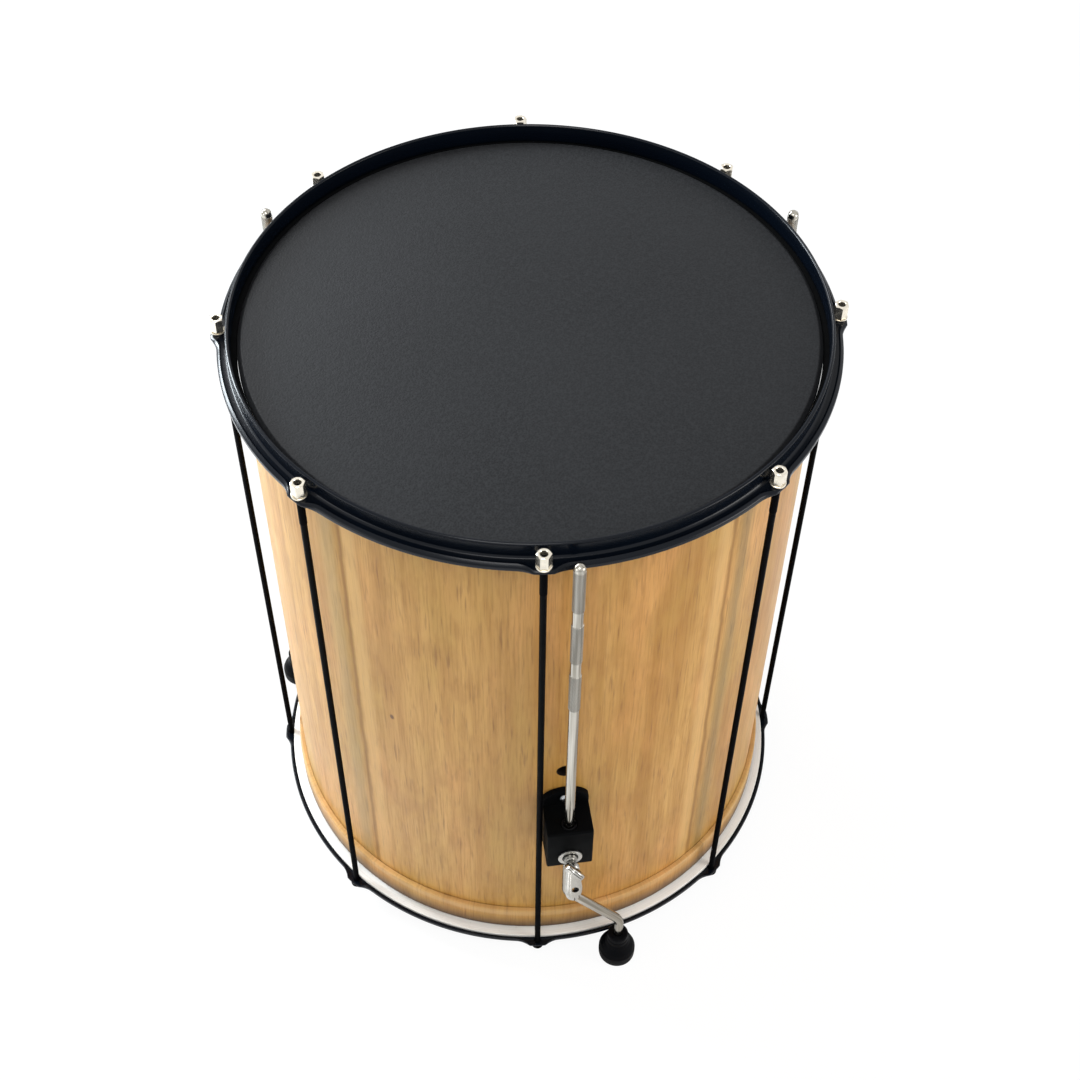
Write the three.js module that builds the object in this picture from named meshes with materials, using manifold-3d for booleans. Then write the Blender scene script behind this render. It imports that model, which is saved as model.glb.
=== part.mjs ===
// Surdo: a bass drum of 18 inches by 60 cm that stands on three sliding legs.
// Millimetres, +Z up. The origin is the middle of the batter head's playing face,
// and the front tension rod stands towards -Y. An azimuth is counted from -Y towards +X.
import * as THREE from 'three';
import { mergeVertices } from 'three/addons/utils/BufferGeometryUtils.js';
import Module from 'manifold-3d';

const wasm = await Module();
wasm.setup();

// Clearances
const seatGap = 0.3;
const weldDistance = 0.0001;
const cutOverrun = 4;

// Facets of the round shapes
const ringSides = 48;
const rodSides = 8;
const legRodSides = 8;
const screwSides = 8;
const washerSides = 8;
const wingWasherSides = 14;
const wingCoreSides = 10;
const ventSides = 14;
const footSides = 14;
const bushBoreSides = 16;
const nutBoreSegments = 5;
const bushSegments = 7;
const plateSegments = 4;
const wingSegments = 3;

// Shell: veneered plywood tube with bevelled bearing edges
const shellDiameter = 457.2;
const shellWall = 9;
const bearingShoulder = 3;
const headSpan = 574;
const ventDiameter = 15;
const ventAboveBracket = 70;
const bandThickness = 4.7;
const bandHeight = 30;
const bandRound = 1.8;

// Heads: a skin gripped in a flat flesh hoop
const skinThickness = 1.2;
const fleshHoopHeight = 4;
const fleshHoopBevel = 0.8;

// Counterhoops: pressed steel, with an upright rim, a flat seat, a rolled crest and a turned lip
const hoopSteel = 2.3;
const rimOffset = 4.3;
const rimRise = 13;
const seatDrop = 2;
const coveWidth = 1.6;
const beadProud = 0.9;
const beadHeight = 2.8;
const crestHeight = 1.1;
const crestInset = 2.8;
const lipDepth = 5.2;
const earLipDepth = 2.6;
const lipToFleshHoop = 1.5;
const washerOverEar = 0.4;
const earCrestInset = 1.9;
const earFlat = 6.8;
const earHalfLength = 20;
const earSlopeShare = 0.36;
const flatSeatShare = 0.5;
const rodCount = 8;

// Tension rods, nuts and washers
const rodDiameter = 5.3;
const rodHoleClearance = 0.6;
const rodToFleshHoop = 0.35;
const rodHeadDiameter = 11.4;
const rodHeadHeight = 4.4;
const rodBevel = 1;
const rodEndDepth = 4.2;
const washerThickness = 1.2;
const washerOverhang = 0.45;
const washerHole = 6.6;
const nutAcrossFlats = 10;
const nutHeight = 12.2;
const nutBoreClearance = 0.3;

// Legs: a cranked rod with three knurled bands in a block, and a rubber foot
const leftLegDegrees = -122;
const rightLegDegrees = 118;
const crankDegrees = 90;
const legRodDiameter = 8.8;
const knurlDiameter = 9.5;
const knurlStep = 0.6;
const legToHoop = 2.8;
const legTopRise = 7.5;
const domeHeight = 3.6;
const domeShares = [[0.35, 0], [0.75, 0.25], [1, 1]];
const knurlInset = 5.5;
const knurlLength = 45.7;
const knurlGap = 16.5;
const knurlCount = 3;
const crankThrow = 51.5;
const bendRadius = 24;
const bendShares = [0, 1 / 3, 2 / 3, 1];
const lowerBendHeight = 66;
const crankLeanDegrees = 37;
const footClearance = 7.6;
const footHeight = 40.5;
const footNeckDiameter = 20;
const footBodyDiameter = 34.6;
const footBaseDiameter = 31;
const footSocketDepth = 25;
// Each row: how far out from the neck's radius to the body's, and how far up the foot.
const footProfileShares = [
  [0.95, 0.08], [1, 0.21], [1, 0.34], [0.72, 0.47], [0.24, 0.59], [0, 0.7], [-0.06, 0.95], [-0.17, 1],
];

// Leg brackets: a plate on the shell and a block that holds the bush
const bracketAboveFootEnd = 206;
const bracketToRod = 1.27;
const plateWidth = 40;
const plateThickness = 5.1;
const plateCornerHeight = 33.5;
const plateArch = 12.5;
const blockHeight = 52;
const blockChamfer = 2;
const blockFrontWall = 3.7;
const bushWall = 1.45;
const bushGap = 0.3;
const bushSlit = 2;
const bushRunningGap = 0.3;
const bracketScrewSpacing = 74;
const bracketScrewDiameter = 5.6;
const bracketScrewHeadDiameter = 10.4;
const bracketScrewHeadHeight = 3;
const bracketScrewTail = 1.6;
const screwRimShare = 0.5;
const screwCrownShare = 0.7;
const bracketHoleClearance = 0.4;
const backingWidth = 18;
const backingThickness = 3;
const backingEndMargin = 9;
const backingChamfer = 4;

// Wing screws: a threaded shank, a collar and two twisted wings
const wingScrewDrop = 11;
const wingShankDiameter = 8;
const wingWasherDiameter = 21;
const wingWasherHole = 9;
const wingWasherThickness = 1.6;
const wingCollarDiameter = 12;
const wingCollarHeight = 2.4;
const wingNeckLength = 3.2;
const wingHubDiameter = 13;
const wingHubHeight = 8.5;
const wingHubShares = [[1, 0.25], [1, 0.7], [0.6, 1]];
const wingSeatShare = 0.35;
const wingLength = 30;
const wingWidth = 19;
const wingRootWidth = 11;
const wingThickness = 5.5;
const wingBevel = 1;
const wingFlareShare = 1.5;
const wingSlotWidth = 9;
const wingSlotHeight = 4.4;
const wingSlotInset = 9;
const wingSpreadDegrees = 50;
const wingTwistDegrees = 45;

// Radii and heights that follow from the sizes above
const shellRadius = shellDiameter / 2;
const skinInner = shellRadius + seatGap;
const skinOuter = skinInner + skinThickness;
const fleshInner = skinOuter + seatGap;
const rimInner = fleshInner + rimOffset;
const rimOuter = rimInner + hoopSteel;
const rodRadius = rodDiameter / 2;
const washerRadius = nutAcrossFlats / Math.sqrt(3) + washerOverhang;
const rodCircle = rimOuter + coveWidth + seatGap + washerRadius;
const fleshOuter = rodCircle - rodRadius - rodToFleshHoop;
const lipOuter = fleshOuter + lipToFleshHoop + hoopSteel;
const earLipOuter = rodCircle + washerRadius - washerOverEar;
const flangeUnder = -(seatDrop + hoopSteel);
const fleshTop = flangeUnder - seatGap;
const fleshBottom = fleshTop - fleshHoopHeight;
const nutBase = -seatDrop + seatGap + washerThickness + seatGap;
const shellTop = -(skinThickness + seatGap);
const floorHeight = -(headSpan + rimRise + footClearance);
const legAxisRadius = lipOuter + legToHoop + knurlDiameter / 2;
const bushInner = knurlDiameter / 2 + bushRunningGap;
const bushOuter = bushInner + bushWall;
const plateFront = shellRadius + seatGap + plateThickness;
const blockFront = legAxisRadius + bushOuter + bushGap + blockFrontWall;
const bracketDrop = headSpan - bracketAboveFootEnd;
const ventDrop = bracketDrop - ventAboveBracket;
// The front bracket stands just clear of the front tension rod.
const frontLegOffset = plateWidth / 2 + rodRadius + bracketToRod;
const legAzimuths = {
  front: THREE.MathUtils.radToDeg(Math.asin(frontLegOffset / rodCircle)),
  left: leftLegDegrees,
  right: rightLegDegrees,
};

// Shapes

function degrees(angle) {
  return THREE.MathUtils.degToRad(angle);
}

function mix(from, to, weight) {
  return from + (to - from) * weight;
}

// Joins equal corners and leaves out the faces that have shrunk to nothing.
function weld(geometry) {
  const plain = geometry.clone();
  plain.deleteAttribute('normal');
  plain.deleteAttribute('uv');
  const merged = mergeVertices(plain, weldDistance);
  const faces = [];
  const corners = merged.index.array;
  for (let i = 0; i < corners.length; i += 3) {
    const [a, b, c] = corners.slice(i, i + 3);
    if (a !== b && b !== c && c !== a) faces.push(a, b, c);
  }
  merged.setIndex(faces);
  return merged;
}

function toManifold(geometry) {
  const welded = weld(geometry);
  return new wasm.Manifold(new wasm.Mesh({
    numProp: 3,
    vertProperties: Float32Array.from(welded.attributes.position.array),
    triVerts: Uint32Array.from(welded.index.array),
  }));
}

function fromManifold(manifold) {
  const data = manifold.getMesh();
  const geometry = new THREE.BufferGeometry();
  geometry.setAttribute('position', new THREE.BufferAttribute(data.vertProperties, 3));
  geometry.setIndex(new THREE.BufferAttribute(data.triVerts, 1));
  return geometry;
}

function cut(geometry, tools) {
  const solid = tools.reduce((rest, tool) => rest.subtract(toManifold(tool)), toManifold(geometry));
  return fromManifold(solid);
}

function join(geometries) {
  return fromManifold(geometries.map(toManifold).reduce((all, next) => all.add(next)));
}

// A profile of [radius, height] turned about the Z axis. It runs up the outside.
function revolve(profile, sides) {
  const points = profile.map(([radius, height]) => new THREE.Vector2(radius, height));
  return new THREE.LatheGeometry(points, sides).rotateX(Math.PI / 2);
}

function ring(profile, sides) {
  return revolve([...profile, profile[0]], sides);
}

function rod(radius, from, to, sides) {
  return revolve([[0, from], [radius, from], [radius, to], [0, to]], sides);
}

// Rings of equal corner counts joined in turn, closed on itself or capped at both ends.
function loft(rings, closed) {
  const count = rings[0].length;
  const positions = rings.flat().flatMap((corner) => [corner.x, corner.y, corner.z]);
  const faces = [];
  const spans = closed ? rings.length : rings.length - 1;
  for (let i = 0; i < spans; i += 1) {
    const near = i * count;
    const far = ((i + 1) % rings.length) * count;
    for (let j = 0; j < count; j += 1) {
      const next = (j + 1) % count;
      faces.push(near + j, near + next, far + j, near + next, far + next, far + j);
    }
  }
  if (!closed) {
    const last = (rings.length - 1) * count;
    for (let j = 1; j < count - 1; j += 1) {
      faces.push(0, j + 1, j, last, last + j, last + j + 1);
    }
  }
  const geometry = new THREE.BufferGeometry();
  geometry.setAttribute('position', new THREE.Float32BufferAttribute(positions, 3));
  geometry.setIndex(faces);
  return geometry;
}

// A shape drawn across X and Y, extruded along +Z.
function extrude(shape, depth, curveSegments) {
  return new THREE.ExtrudeGeometry(shape, { depth, curveSegments, bevelEnabled: false });
}

function hexagon(acrossFlats) {
  const corner = acrossFlats / Math.sqrt(3);
  const shape = new THREE.Shape();
  for (let i = 0; i < 6; i += 1) {
    const angle = i * Math.PI / 3;
    const place = [corner * Math.cos(angle), corner * Math.sin(angle)];
    if (i === 0) shape.moveTo(...place);
    else shape.lineTo(...place);
  }
  shape.closePath();
  return shape;
}

function hexNut(acrossFlats, height, boreRadius) {
  const shape = hexagon(acrossFlats);
  const bore = new THREE.Path();
  bore.absarc(0, 0, boreRadius, 0, 2 * Math.PI, true);
  shape.holes.push(bore);
  return extrude(shape, height, nutBoreSegments);
}

function washer(outerRadius, innerRadius, thickness, sides) {
  return ring([
    [innerRadius, 0], [outerRadius, 0], [outerRadius, thickness], [innerRadius, thickness],
  ], sides);
}

// Turns a shape that was built along +Z so that it points outwards, towards -Y.
function outwards(geometry) {
  return geometry.rotateX(Math.PI / 2);
}

function at(azimuth, geometry) {
  return geometry.rotateZ(degrees(azimuth));
}

function piece(name, geometry, color, roughness, metalness) {
  const material = new THREE.MeshStandardMaterial({ color, roughness, metalness, flatShading: true });
  const mesh = new THREE.Mesh(weld(geometry), material);
  mesh.name = name;
  return mesh;
}

// The foot end of the drum is the top end turned over.
function turnedOver(mesh) {
  mesh.rotation.x = Math.PI;
  mesh.position.z = -headSpan;
  return mesh;
}

// Shell and band

function shellTube() {
  const bottom = -headSpan - shellTop;
  const inner = shellRadius - shellWall;
  const crest = shellRadius - bearingShoulder;
  const bevel = crest - inner;
  return ring([
    [inner, bottom + bevel], [crest, bottom], [shellRadius, bottom + bearingShoulder],
    [shellRadius, shellTop - bearingShoulder], [crest, shellTop], [inner, shellTop - bevel],
  ], ringSides);
}

const bracketScrewHeights = {
  upper: bracketScrewSpacing / 2 - bracketDrop,
  lower: -bracketScrewSpacing / 2 - bracketDrop,
};

// A rod-shaped cutter across the wall, at an azimuth and a height.
function wallDrill(radius, azimuth, height, sides) {
  const drill = rod(radius, shellRadius - shellWall - cutOverrun, plateFront + cutOverrun, sides);
  return at(azimuth, outwards(drill).translate(0, 0, height));
}

function shell() {
  const screwHole = bracketScrewDiameter / 2 + bracketHoleClearance;
  const holes = Object.values(legAzimuths).flatMap((azimuth) => (
    Object.values(bracketScrewHeights).map((height) => wallDrill(screwHole, azimuth, height, screwSides))
  ));
  const vent = wallDrill(ventDiameter / 2, legAzimuths.front, -ventDrop, ventSides);
  return cut(shellTube(), [...holes, vent]);
}

function reinforcementBand() {
  const outer = skinInner + bandThickness;
  const bottom = -headSpan - fleshBottom + seatGap;
  const top = bottom + bandHeight;
  return ring([
    [skinInner, bottom], [outer - bandRound / 2, bottom], [outer, bottom + bandRound],
    [outer, top - bandRound], [outer - bandRound, top], [skinInner, top],
  ], ringSides);
}

// Heads

function skin() {
  const corner = skinOuter - shellRadius + bearingShoulder + skinThickness * (1 - Math.SQRT2);
  const under = shellRadius - bearingShoulder;
  return revolve([
    [0, -skinThickness], [under, -skinThickness],
    [skinInner, -skinThickness - (skinInner - under)], [skinInner, fleshBottom],
    [skinOuter, fleshBottom], [skinOuter, -corner], [skinOuter - corner, 0], [0, 0],
  ], ringSides);
}

function fleshHoop() {
  return ring([
    [fleshInner, fleshBottom], [fleshOuter - fleshHoopBevel, fleshBottom],
    [fleshOuter, fleshBottom + fleshHoopBevel], [fleshOuter, fleshTop], [fleshInner, fleshTop],
  ], ringSides);
}

// Counterhoop: one section, opened out into a flat ear at each rod

function hoopSection(ear) {
  const lip = mix(lipOuter, earLipOuter, ear);
  const crest = mix(crestHeight, 0, ear) - seatDrop;
  const inset = mix(crestInset, earCrestInset, ear);
  const lipBottom = -seatDrop - mix(lipDepth, earLipDepth, ear);
  const coveFoot = rimOuter + coveWidth;
  return [
    [lip - hoopSteel, lipBottom], [lip, lipBottom], [lip, crest - hoopSteel], [lip - inset, crest],
    [mix(coveFoot, lip, flatSeatShare), -seatDrop], [coveFoot, -seatDrop], [rimOuter, coveWidth - seatDrop],
    [rimOuter, rimRise - beadHeight], [rimOuter + beadProud, rimRise - beadHeight / 2],
    [rimOuter - beadProud, rimRise], [rimInner, rimRise - beadHeight / 2], [rimInner, flangeUnder],
    [lip - hoopSteel, flangeUnder],
  ];
}

// How far the section has opened into an ear, at a distance along the hoop from the rod.
function earWeight(distance) {
  const share = Math.min(Math.max((distance - earFlat) / (earHalfLength - earFlat), 0), 1);
  return (1 - share) ** 2;
}

function hoopStations() {
  const half = Math.PI * rodCircle / rodCount;
  const slope = earHalfLength - earFlat;
  const open = (half - earHalfLength) / 2;
  const side = [earFlat, earFlat + slope * earSlopeShare, earHalfLength, earHalfLength + open];
  return [0, ...side, half, ...side.map((distance) => 2 * half - distance).reverse()];
}

function hoop() {
  const period = 2 * Math.PI / rodCount;
  const stations = hoopStations();
  const pitch = period * rodCircle;
  const rings = [];
  for (let ear = 0; ear < rodCount; ear += 1) {
    for (const distance of stations) {
      const angle = ear * period + distance / rodCircle;
      const section = hoopSection(earWeight(Math.min(distance, pitch - distance)));
      rings.push(section.reverse().map(([radius, height]) => (
        new THREE.Vector3(radius * Math.sin(angle), -radius * Math.cos(angle), height)
      )));
    }
  }
  const hole = rodRadius + rodHoleClearance;
  const holes = rodAzimuths().map((azimuth) => {
    const drill = rod(hole, flangeUnder - cutOverrun / 2, -seatDrop + cutOverrun, rodSides);
    return at(azimuth, drill.translate(0, -rodCircle, 0));
  });
  return cut(loft(rings, true), holes);
}

// Tension rods, nuts and washers

function rodAzimuths() {
  return Array.from({ length: rodCount }, (_, i) => i * 360 / rodCount);
}

function tensionRod() {
  const seat = -headSpan + seatDrop - seatGap;
  const top = nutBase + nutHeight - rodEndDepth;
  const headRadius = rodHeadDiameter / 2;
  return revolve([
    [0, seat - rodHeadHeight], [headRadius - rodBevel, seat - rodHeadHeight],
    [headRadius, seat - rodHeadHeight + rodBevel], [headRadius, seat], [rodRadius, seat],
    [rodRadius, top - rodBevel], [rodRadius - rodBevel, top], [0, top],
  ], rodSides).translate(0, -rodCircle, 0);
}

function tuningNut() {
  const nut = hexNut(nutAcrossFlats, nutHeight, rodRadius + nutBoreClearance);
  return nut.translate(0, -rodCircle, nutBase);
}

function tuningWasher() {
  const flat = washer(washerRadius, washerHole / 2, washerThickness, washerSides);
  return flat.translate(0, -rodCircle, seatGap - seatDrop);
}

// Leg rod, foot and bush stand on the rod's own upright axis, with the crank towards +X.

function rodRing(x, z, lean, radius) {
  const across = new THREE.Vector3(Math.cos(lean), 0, Math.sin(lean));
  const along = new THREE.Vector3(0, -1, 0);
  return Array.from({ length: legRodSides }, (_, i) => {
    const angle = (i + 0.5) * 2 * Math.PI / legRodSides;
    return new THREE.Vector3(x, 0, z)
      .addScaledVector(across, radius * Math.cos(angle))
      .addScaledVector(along, radius * Math.sin(angle));
  });
}

// Rings round one bend. The lean is the rod's angle from the vertical.
function bendRings(x, z, fromLean, toLean, radius) {
  const reach = bendRadius * Math.tan(Math.abs(toLean - fromLean) / 2);
  const turn = Math.sign(toLean - fromLean);
  const start = [x - reach * Math.sin(fromLean), z + reach * Math.cos(fromLean)];
  return bendShares.map((share) => {
    const lean = mix(fromLean, toLean, share);
    const ringX = start[0] + turn * bendRadius * (Math.cos(fromLean) - Math.cos(lean));
    const ringZ = start[1] + turn * bendRadius * (Math.sin(fromLean) - Math.sin(lean));
    return rodRing(ringX, ringZ, lean, radius);
  });
}

function legRod() {
  const smooth = legRodDiameter / 2;
  const rough = knurlDiameter / 2;
  const lower = floorHeight + lowerBendHeight;
  const end = floorHeight + footHeight - footSocketDepth + seatGap;
  const lean = degrees(crankLeanDegrees);
  const rings = domeShares.map(([across, down]) => (
    rodRing(0, legTopRise - domeHeight * down, 0, smooth * across)
  ));
  for (let i = 0; i < knurlCount; i += 1) {
    const top = legTopRise - knurlInset - i * (knurlLength + knurlGap);
    const bottom = top - knurlLength;
    rings.push(rodRing(0, top, 0, smooth), rodRing(0, top - knurlStep, 0, rough));
    rings.push(rodRing(0, bottom + knurlStep, 0, rough), rodRing(0, bottom, 0, smooth));
  }
  rings.push(...bendRings(0, lower + crankThrow / Math.tan(lean), 0, lean, smooth));
  rings.push(...bendRings(crankThrow, lower, lean, 0, smooth));
  rings.push(rodRing(crankThrow, end, 0, smooth));
  return loft(rings, false);
}

function foot() {
  const neck = footNeckDiameter / 2;
  const body = footBodyDiameter / 2;
  const socket = legRodDiameter / 2 + seatGap;
  const top = floorHeight + footHeight;
  const outside = footProfileShares.map(([out, up]) => [mix(neck, body, out), floorHeight + footHeight * up]);
  return revolve([
    [0, floorHeight], [footBaseDiameter / 2, floorHeight], ...outside,
    [socket, top], [socket, top - footSocketDepth], [0, top - footSocketDepth],
  ], footSides).translate(crankThrow, 0, 0);
}

function bush() {
  const edge = Math.asin(bushSlit / 2 / bushInner);
  const outerEdge = Math.asin(bushSlit / 2 / bushOuter);
  const shape = new THREE.Shape();
  shape.absarc(0, 0, bushOuter, outerEdge, 2 * Math.PI - outerEdge, false);
  shape.absarc(0, 0, bushInner, 2 * Math.PI - edge, edge, true);
  shape.closePath();
  return extrude(shape, blockHeight, bushSegments).translate(0, 0, -bracketDrop - blockHeight / 2);
}

// Leg bracket, built in place at azimuth zero

function bracketPlate() {
  const half = plateWidth / 2;
  const archRadius = (half ** 2 + plateArch ** 2) / (2 * plateArch);
  const centre = plateCornerHeight + plateArch - archRadius;
  const angle = Math.atan2(plateCornerHeight - centre, half);
  const shape = new THREE.Shape();
  shape.moveTo(half, -plateCornerHeight);
  shape.lineTo(half, plateCornerHeight);
  shape.absarc(0, centre, archRadius, angle, Math.PI - angle, false);
  shape.lineTo(-half, -plateCornerHeight);
  shape.absarc(0, -centre, archRadius, Math.PI + angle, 2 * Math.PI - angle, false);
  const back = shellRadius - half;
  const plate = extrude(shape, plateFront - back, plateSegments).translate(0, 0, back);
  return outwards(plate).translate(0, 0, -bracketDrop);
}

function bracketBlock() {
  const half = plateWidth / 2;
  const shape = new THREE.Shape();
  shape.moveTo(-half, -shellRadius);
  shape.lineTo(-half, -blockFront + blockChamfer);
  shape.lineTo(-half + blockChamfer, -blockFront);
  shape.lineTo(half - blockChamfer, -blockFront);
  shape.lineTo(half, -blockFront + blockChamfer);
  shape.lineTo(half, -shellRadius);
  shape.closePath();
  return extrude(shape, blockHeight, 1).translate(0, 0, -bracketDrop - blockHeight / 2);
}

function bracket(azimuth) {
  const tall = plateCornerHeight + plateArch + cutOverrun;
  const shellCutter = at(-azimuth, rod(skinInner, -tall, tall, ringSides).translate(0, 0, -bracketDrop));
  const bore = rod(bushOuter + bushGap, -blockHeight, blockHeight, bushBoreSides);
  bore.translate(0, -legAxisRadius, -bracketDrop);
  const screwRadius = wingShankDiameter / 2 + seatGap;
  const screwHole = outwards(rod(screwRadius, legAxisRadius, blockFront + cutOverrun, wingCoreSides));
  screwHole.translate(0, 0, -bracketDrop - wingScrewDrop);
  const plateHole = bracketScrewDiameter / 2 + bracketHoleClearance;
  const plateDrill = outwards(rod(plateHole, shellRadius - plateWidth, plateFront + cutOverrun, screwSides));
  const plateHoles = Object.values(bracketScrewHeights).map((height) => (
    plateDrill.clone().translate(0, 0, height)
  ));
  return cut(join([bracketPlate(), bracketBlock()]), [shellCutter, bore, screwHole, ...plateHoles]);
}

// Bracket screws and the tapped backing plate inside the shell

const shellInnerFlat = (shellRadius - shellWall) * Math.cos(Math.PI / ringSides);
const backingFace = shellInnerFlat - seatGap;

function bracketScrew(height) {
  const shank = bracketScrewDiameter / 2;
  const headRadius = bracketScrewHeadDiameter / 2;
  const headBase = plateFront + seatGap;
  const headTop = headBase + bracketScrewHeadHeight;
  const tail = backingFace - backingThickness - bracketScrewTail;
  return outwards(revolve([
    [0, tail], [shank, tail], [shank, headBase], [headRadius, headBase],
    [headRadius, mix(headBase, headTop, screwRimShare)], [headRadius * screwCrownShare, headTop],
    [0, headTop],
  ], screwSides)).translate(0, 0, height);
}

function backingPlate() {
  const half = backingWidth / 2;
  const tall = bracketScrewSpacing / 2 + backingEndMargin;
  const shape = new THREE.Shape();
  shape.moveTo(-half, -tall + backingChamfer);
  shape.lineTo(-half + backingChamfer, -tall);
  shape.lineTo(half - backingChamfer, -tall);
  shape.lineTo(half, -tall + backingChamfer);
  shape.lineTo(half, tall - backingChamfer);
  shape.lineTo(half - backingChamfer, tall);
  shape.lineTo(-half + backingChamfer, tall);
  shape.lineTo(-half, tall - backingChamfer);
  shape.closePath();
  const screwHole = bracketScrewDiameter / 2 + bracketHoleClearance;
  for (const height of Object.values(bracketScrewHeights)) {
    const hole = new THREE.Path();
    hole.absarc(0, height + bracketDrop, screwHole, 0, 2 * Math.PI, true);
    shape.holes.push(hole);
  }
  const plate = extrude(shape, backingThickness, plateSegments);
  plate.translate(0, 0, backingFace - backingThickness);
  return outwards(plate).translate(0, 0, -bracketDrop);
}

// Wing screw, built along +Z from the drum's axis outwards, with its height towards +Y

function wingBlade() {
  const half = wingWidth / 2 - wingBevel;
  const rootHalf = wingRootWidth / 2 - wingBevel;
  const length = wingLength - wingBevel;
  const shape = new THREE.Shape();
  shape.moveTo(-rootHalf, 0);
  shape.lineTo(rootHalf, 0);
  shape.lineTo(half, length - half * wingFlareShare);
  shape.absarc(0, length - half, half, 0, Math.PI, false);
  shape.lineTo(-half, length - half * wingFlareShare);
  shape.closePath();
  const slot = new THREE.Path();
  const slotHalves = [wingSlotWidth / 2 + wingBevel, wingSlotHeight / 2 + wingBevel];
  slot.absellipse(0, wingLength - wingSlotInset, ...slotHalves, 0, 2 * Math.PI, true, 0);
  shape.holes.push(slot);
  const blade = new THREE.ExtrudeGeometry(shape, {
    depth: wingThickness - 2 * wingBevel, curveSegments: wingSegments,
    bevelThickness: wingBevel, bevelSize: wingBevel, bevelSegments: 1,
  });
  return blade.translate(0, 0, wingBevel - wingThickness / 2);
}

function wingScrew() {
  const shank = wingShankDiameter / 2;
  const collar = wingCollarDiameter / 2;
  const hub = wingHubDiameter / 2;
  const tip = legAxisRadius + bushOuter + seatGap;
  const collarBase = blockFront + seatGap + wingWasherThickness + seatGap;
  const hubBase = collarBase + wingCollarHeight + wingNeckLength;
  const hubOutside = wingHubShares.map(([out, up]) => [hub * out, hubBase + wingHubHeight * up]);
  const core = revolve([
    [0, tip], [shank, tip], [shank, collarBase], [collar, collarBase],
    [collar, collarBase + wingCollarHeight], [shank, collarBase + wingCollarHeight],
    [shank, hubBase], ...hubOutside, [0, hubBase + wingHubHeight],
  ], wingCoreSides);
  const spread = degrees(wingSpreadDegrees);
  const twist = degrees(wingTwistDegrees);
  const along = new THREE.Vector3(0, -Math.sin(spread), Math.cos(spread));
  const level = new THREE.Vector3(0, Math.cos(spread), Math.sin(spread));
  const across = new THREE.Vector3(Math.cos(twist), 0, 0).addScaledVector(level, -Math.sin(twist));
  const facing = new THREE.Vector3().crossVectors(across, along);
  const lower = wingBlade().applyMatrix4(new THREE.Matrix4().makeBasis(across, along, facing));
  const upper = lower.clone().rotateZ(Math.PI);
  const middle = hubBase + wingHubHeight * wingSeatShare;
  const blades = [lower, upper].map((blade) => blade.translate(0, 0, middle));
  return outwards(join([core, ...blades])).translate(0, 0, -bracketDrop - wingScrewDrop);
}

function wingScrewWasher() {
  const flat = washer(wingWasherDiameter / 2, wingWasherHole / 2, wingWasherThickness, wingWasherSides);
  return outwards(flat.translate(0, 0, blockFront + seatGap)).translate(0, 0, -bracketDrop - wingScrewDrop);
}

// Assembly

const blackSteel = [0x17191d, 0.42, 0.6];
const nickel = [0xc9c6bd, 0.28, 1];
const chrome = [0xd4d6d8, 0.18, 1];
const zinc = [0xb4b6b8, 0.35, 1];
const rubber = [0x141518, 0.75, 0];

function tensionSet(azimuth, i) {
  const set = new THREE.Group();
  set.rotation.z = degrees(azimuth);
  set.add(piece(`tension_rod_${i + 1}`, tensionRod(), ...blackSteel));
  set.add(piece(`tuning_nut_${i + 1}`, tuningNut(), ...nickel));
  set.add(piece(`tuning_washer_${i + 1}`, tuningWasher(), ...nickel));
  return set;
}

function leg(name, azimuth) {
  const set = new THREE.Group();
  set.rotation.z = degrees(azimuth);
  set.add(piece(`${name}_leg_bracket`, bracket(azimuth), 0x15171a, 0.5, 0.2));
  set.add(piece(`${name}_wing_screw`, wingScrew(), ...chrome));
  set.add(piece(`${name}_wing_screw_washer`, wingScrewWasher(), ...chrome));
  set.add(piece(`${name}_bracket_backing_plate`, backingPlate(), ...zinc));
  for (const [place, height] of Object.entries(bracketScrewHeights)) {
    set.add(piece(`${name}_${place}_bracket_screw`, bracketScrew(height), ...zinc));
  }
  const turning = new THREE.Group();
  turning.position.y = -legAxisRadius;
  turning.rotation.z = degrees(crankDegrees - 90);
  turning.add(piece(`${name}_leg_bush`, bush(), 0x1b1c1e, 0.6, 0));
  turning.add(piece(`${name}_leg_rod`, legRod(), ...chrome));
  turning.add(piece(`${name}_leg_foot`, foot(), ...rubber));
  set.add(turning);
  return set;
}

const surdo = new THREE.Group();
surdo.name = 'surdo';
surdo.add(piece('shell', shell(), 0xc79a5b, 0.45, 0));
surdo.add(piece('reinforcement_band', reinforcementBand(), 0xb98a4e, 0.5, 0));
surdo.add(piece('batter_head', skin(), 0x34363a, 0.62, 0));
surdo.add(piece('batter_flesh_hoop', fleshHoop(), 0x1c1e20, 0.7, 0));
surdo.add(piece('batter_hoop', hoop(), ...blackSteel));
surdo.add(turnedOver(piece('resonant_head', skin(), 0xe9e6dd, 0.5, 0)));
surdo.add(turnedOver(piece('resonant_flesh_hoop', fleshHoop(), 0xd8d6d0, 0.4, 1)));
surdo.add(turnedOver(piece('resonant_hoop', hoop(), ...blackSteel)));
rodAzimuths().forEach((azimuth, i) => surdo.add(tensionSet(azimuth, i)));
for (const [name, azimuth] of Object.entries(legAzimuths)) surdo.add(leg(name, azimuth));

export default surdo;
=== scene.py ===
# %% [markdown]
# # A surdo on three legs
# The drum's bodies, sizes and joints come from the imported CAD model. This file dresses
# them: it makes finer pieces where the CAD is plain, gives every surface a procedural
# material, and sets up the light and the camera. Each piece is built in metres, in the
# frame of the CAD, so it can ride on its body without any fitting.

import math

import bmesh
import bpy
from mathutils import Matrix, Vector


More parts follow.
